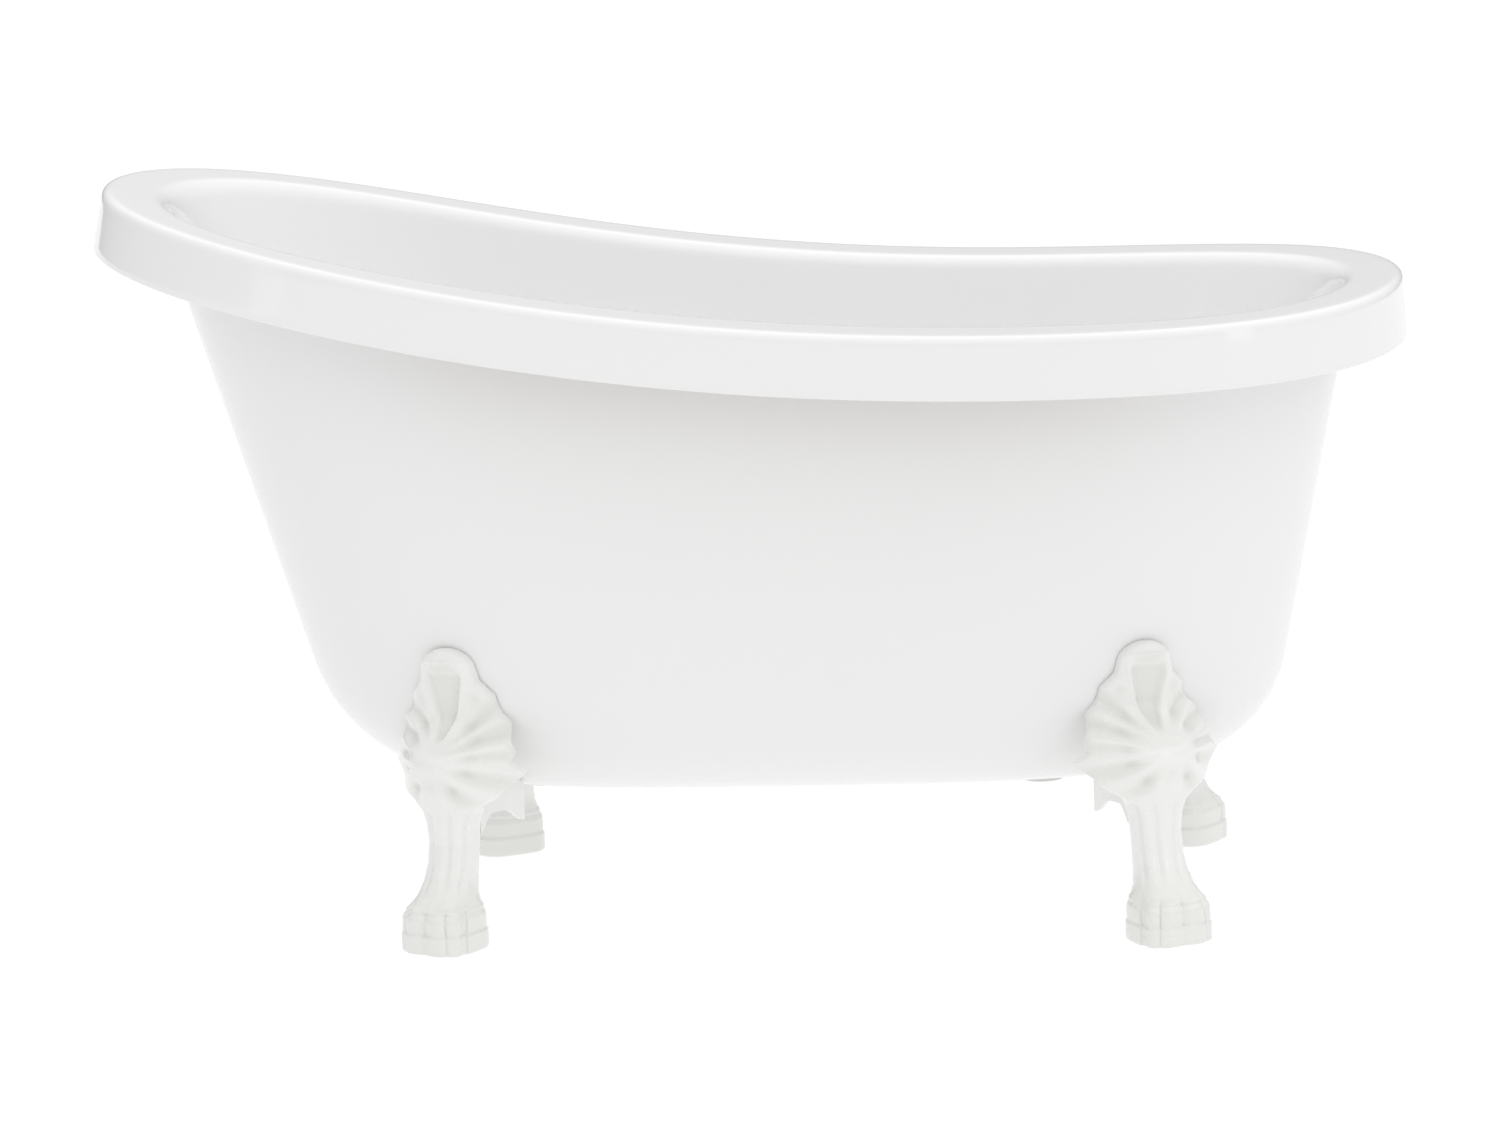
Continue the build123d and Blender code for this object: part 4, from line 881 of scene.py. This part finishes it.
dress(chrome, "waste_flange", "plug_cap", "plug_stem", "overflow_faceplate", "overflow_knob")
dress(zinc, "foot_studs", "foot_washers", "foot_nuts", "rocker_pin", "lift_rocker", "knob_screw")
dress(zinc, "hose_clip_top", "hose_clip_bottom", *("leveller_" + word for word in FOOT_PLACES))
dress(brass, "thread_inserts", "knob_spindle")


# ---- Rubber, plastic, hose and sleeve
# Moulded black gaskets and seal, white moulded waste and overflow bodies, a grey ringed hose
# and the black sleeve of the pull cable. They are pushed on or clamped by the fittings.
rubber = plain_finish("moulded_rubber", values_of(
    (0.028, 0.028, 0.028), (0.045, 0.044, 0.043), 50.0, 2200.0, 0.00004, 0.55, 0.72), 0.0)
moulding = plain_finish("white_moulding", values_of(
    (0.72, 0.72, 0.70), (0.69, 0.69, 0.66), 25.0, 1500.0, 0.00003, 0.38, 0.5), 0.0)
sleeve = plain_finish("black_sleeve", values_of(
    (0.022, 0.022, 0.023), (0.03, 0.03, 0.03), 40.0, 1800.0, 0.00003, 0.4, 0.55), 0.0)
hose_grey, nodes, links, shader = fresh_material("ringed_hose")
effect = finish_node(nodes, links, shader, values_of(
    (0.27, 0.28, 0.29), (0.24, 0.25, 0.26), 20.0, 900.0, 0.00003, 0.35, 0.5))
hose_place = nodes.new("ShaderNodeTexCoord")
ring_waves = nodes.new("ShaderNodeTexWave")
ring_waves.wave_type, ring_waves.bands_direction = "BANDS", "Z"
ring_waves.inputs["Scale"].default_value = 60.0
ribs = nodes.new("ShaderNodeBump")
ribs.inputs["Distance"].default_value = 0.0006
links.new(hose_place.outputs["Object"], ring_waves.inputs["Vector"])
links.new(ring_waves.outputs["Fac"], ribs.inputs["Height"])
links.new(effect.outputs["Normal"], ribs.inputs["Normal"])
links.new(ribs.outputs["Normal"], shader.inputs["Normal"])

dress(rubber, "waste_top_gasket", "waste_bottom_gasket", "plug_seal", "overflow_gasket")
dress(moulding, "waste_body", "overflow_body", "cable_drum")
dress(hose_grey, "overflow_hose")
dress(sleeve, "cable_sleeve")


# ---- Timber
# A plywood board and softwood battens and strips, sealed with a thin coat, are bonded between
# the skins and carry the weight to the corner blocks over the feet.
timber, nodes, links, shader = fresh_material("sealed_timber")
place = nodes.new("ShaderNodeTexCoord")
stretch = nodes.new("ShaderNodeMapping")
stretch.inputs["Scale"].default_value = (3.0, 38.0, 38.0)
figure = nodes.new("ShaderNodeTexNoise")
figure.inputs["Scale"].default_value = 2.4
figure.inputs["Detail"].default_value = 8.0
figure.inputs["Distortion"].default_value = 0.6
tones = nodes.new("ShaderNodeValToRGB")
tones.color_ramp.elements[0].position = 0.36
tones.color_ramp.elements[0].color = (0.36, 0.23, 0.12, 1.0)
tones.color_ramp.elements[1].position = 0.66
tones.color_ramp.elements[1].color = (0.62, 0.45, 0.27, 1.0)
dullness = nodes.new("ShaderNodeMapRange")
dullness.inputs["To Min"].default_value = 0.48
dullness.inputs["To Max"].default_value = 0.68
relief = nodes.new("ShaderNodeBump")
relief.inputs["Distance"].default_value = 0.0003
links.new(place.outputs["Object"], stretch.inputs["Vector"])
links.new(stretch.outputs["Vector"], figure.inputs["Vector"])
links.new(figure.outputs["Fac"], tones.inputs["Fac"])
links.new(tones.outputs["Color"], shader.inputs["Base Color"])
links.new(figure.outputs["Fac"], dullness.inputs["Value"])
links.new(dullness.outputs["Result"], shader.inputs["Roughness"])
links.new(figure.outputs["Fac"], relief.inputs["Height"])
links.new(relief.outputs["Normal"], shader.inputs["Normal"])
dress(timber, "base_board", "floor_batten_front", "floor_batten_back", "rim_strip_front")
dress(timber, "rim_strip_back", *("corner_block_" + word for word in FOOT_PLACES))
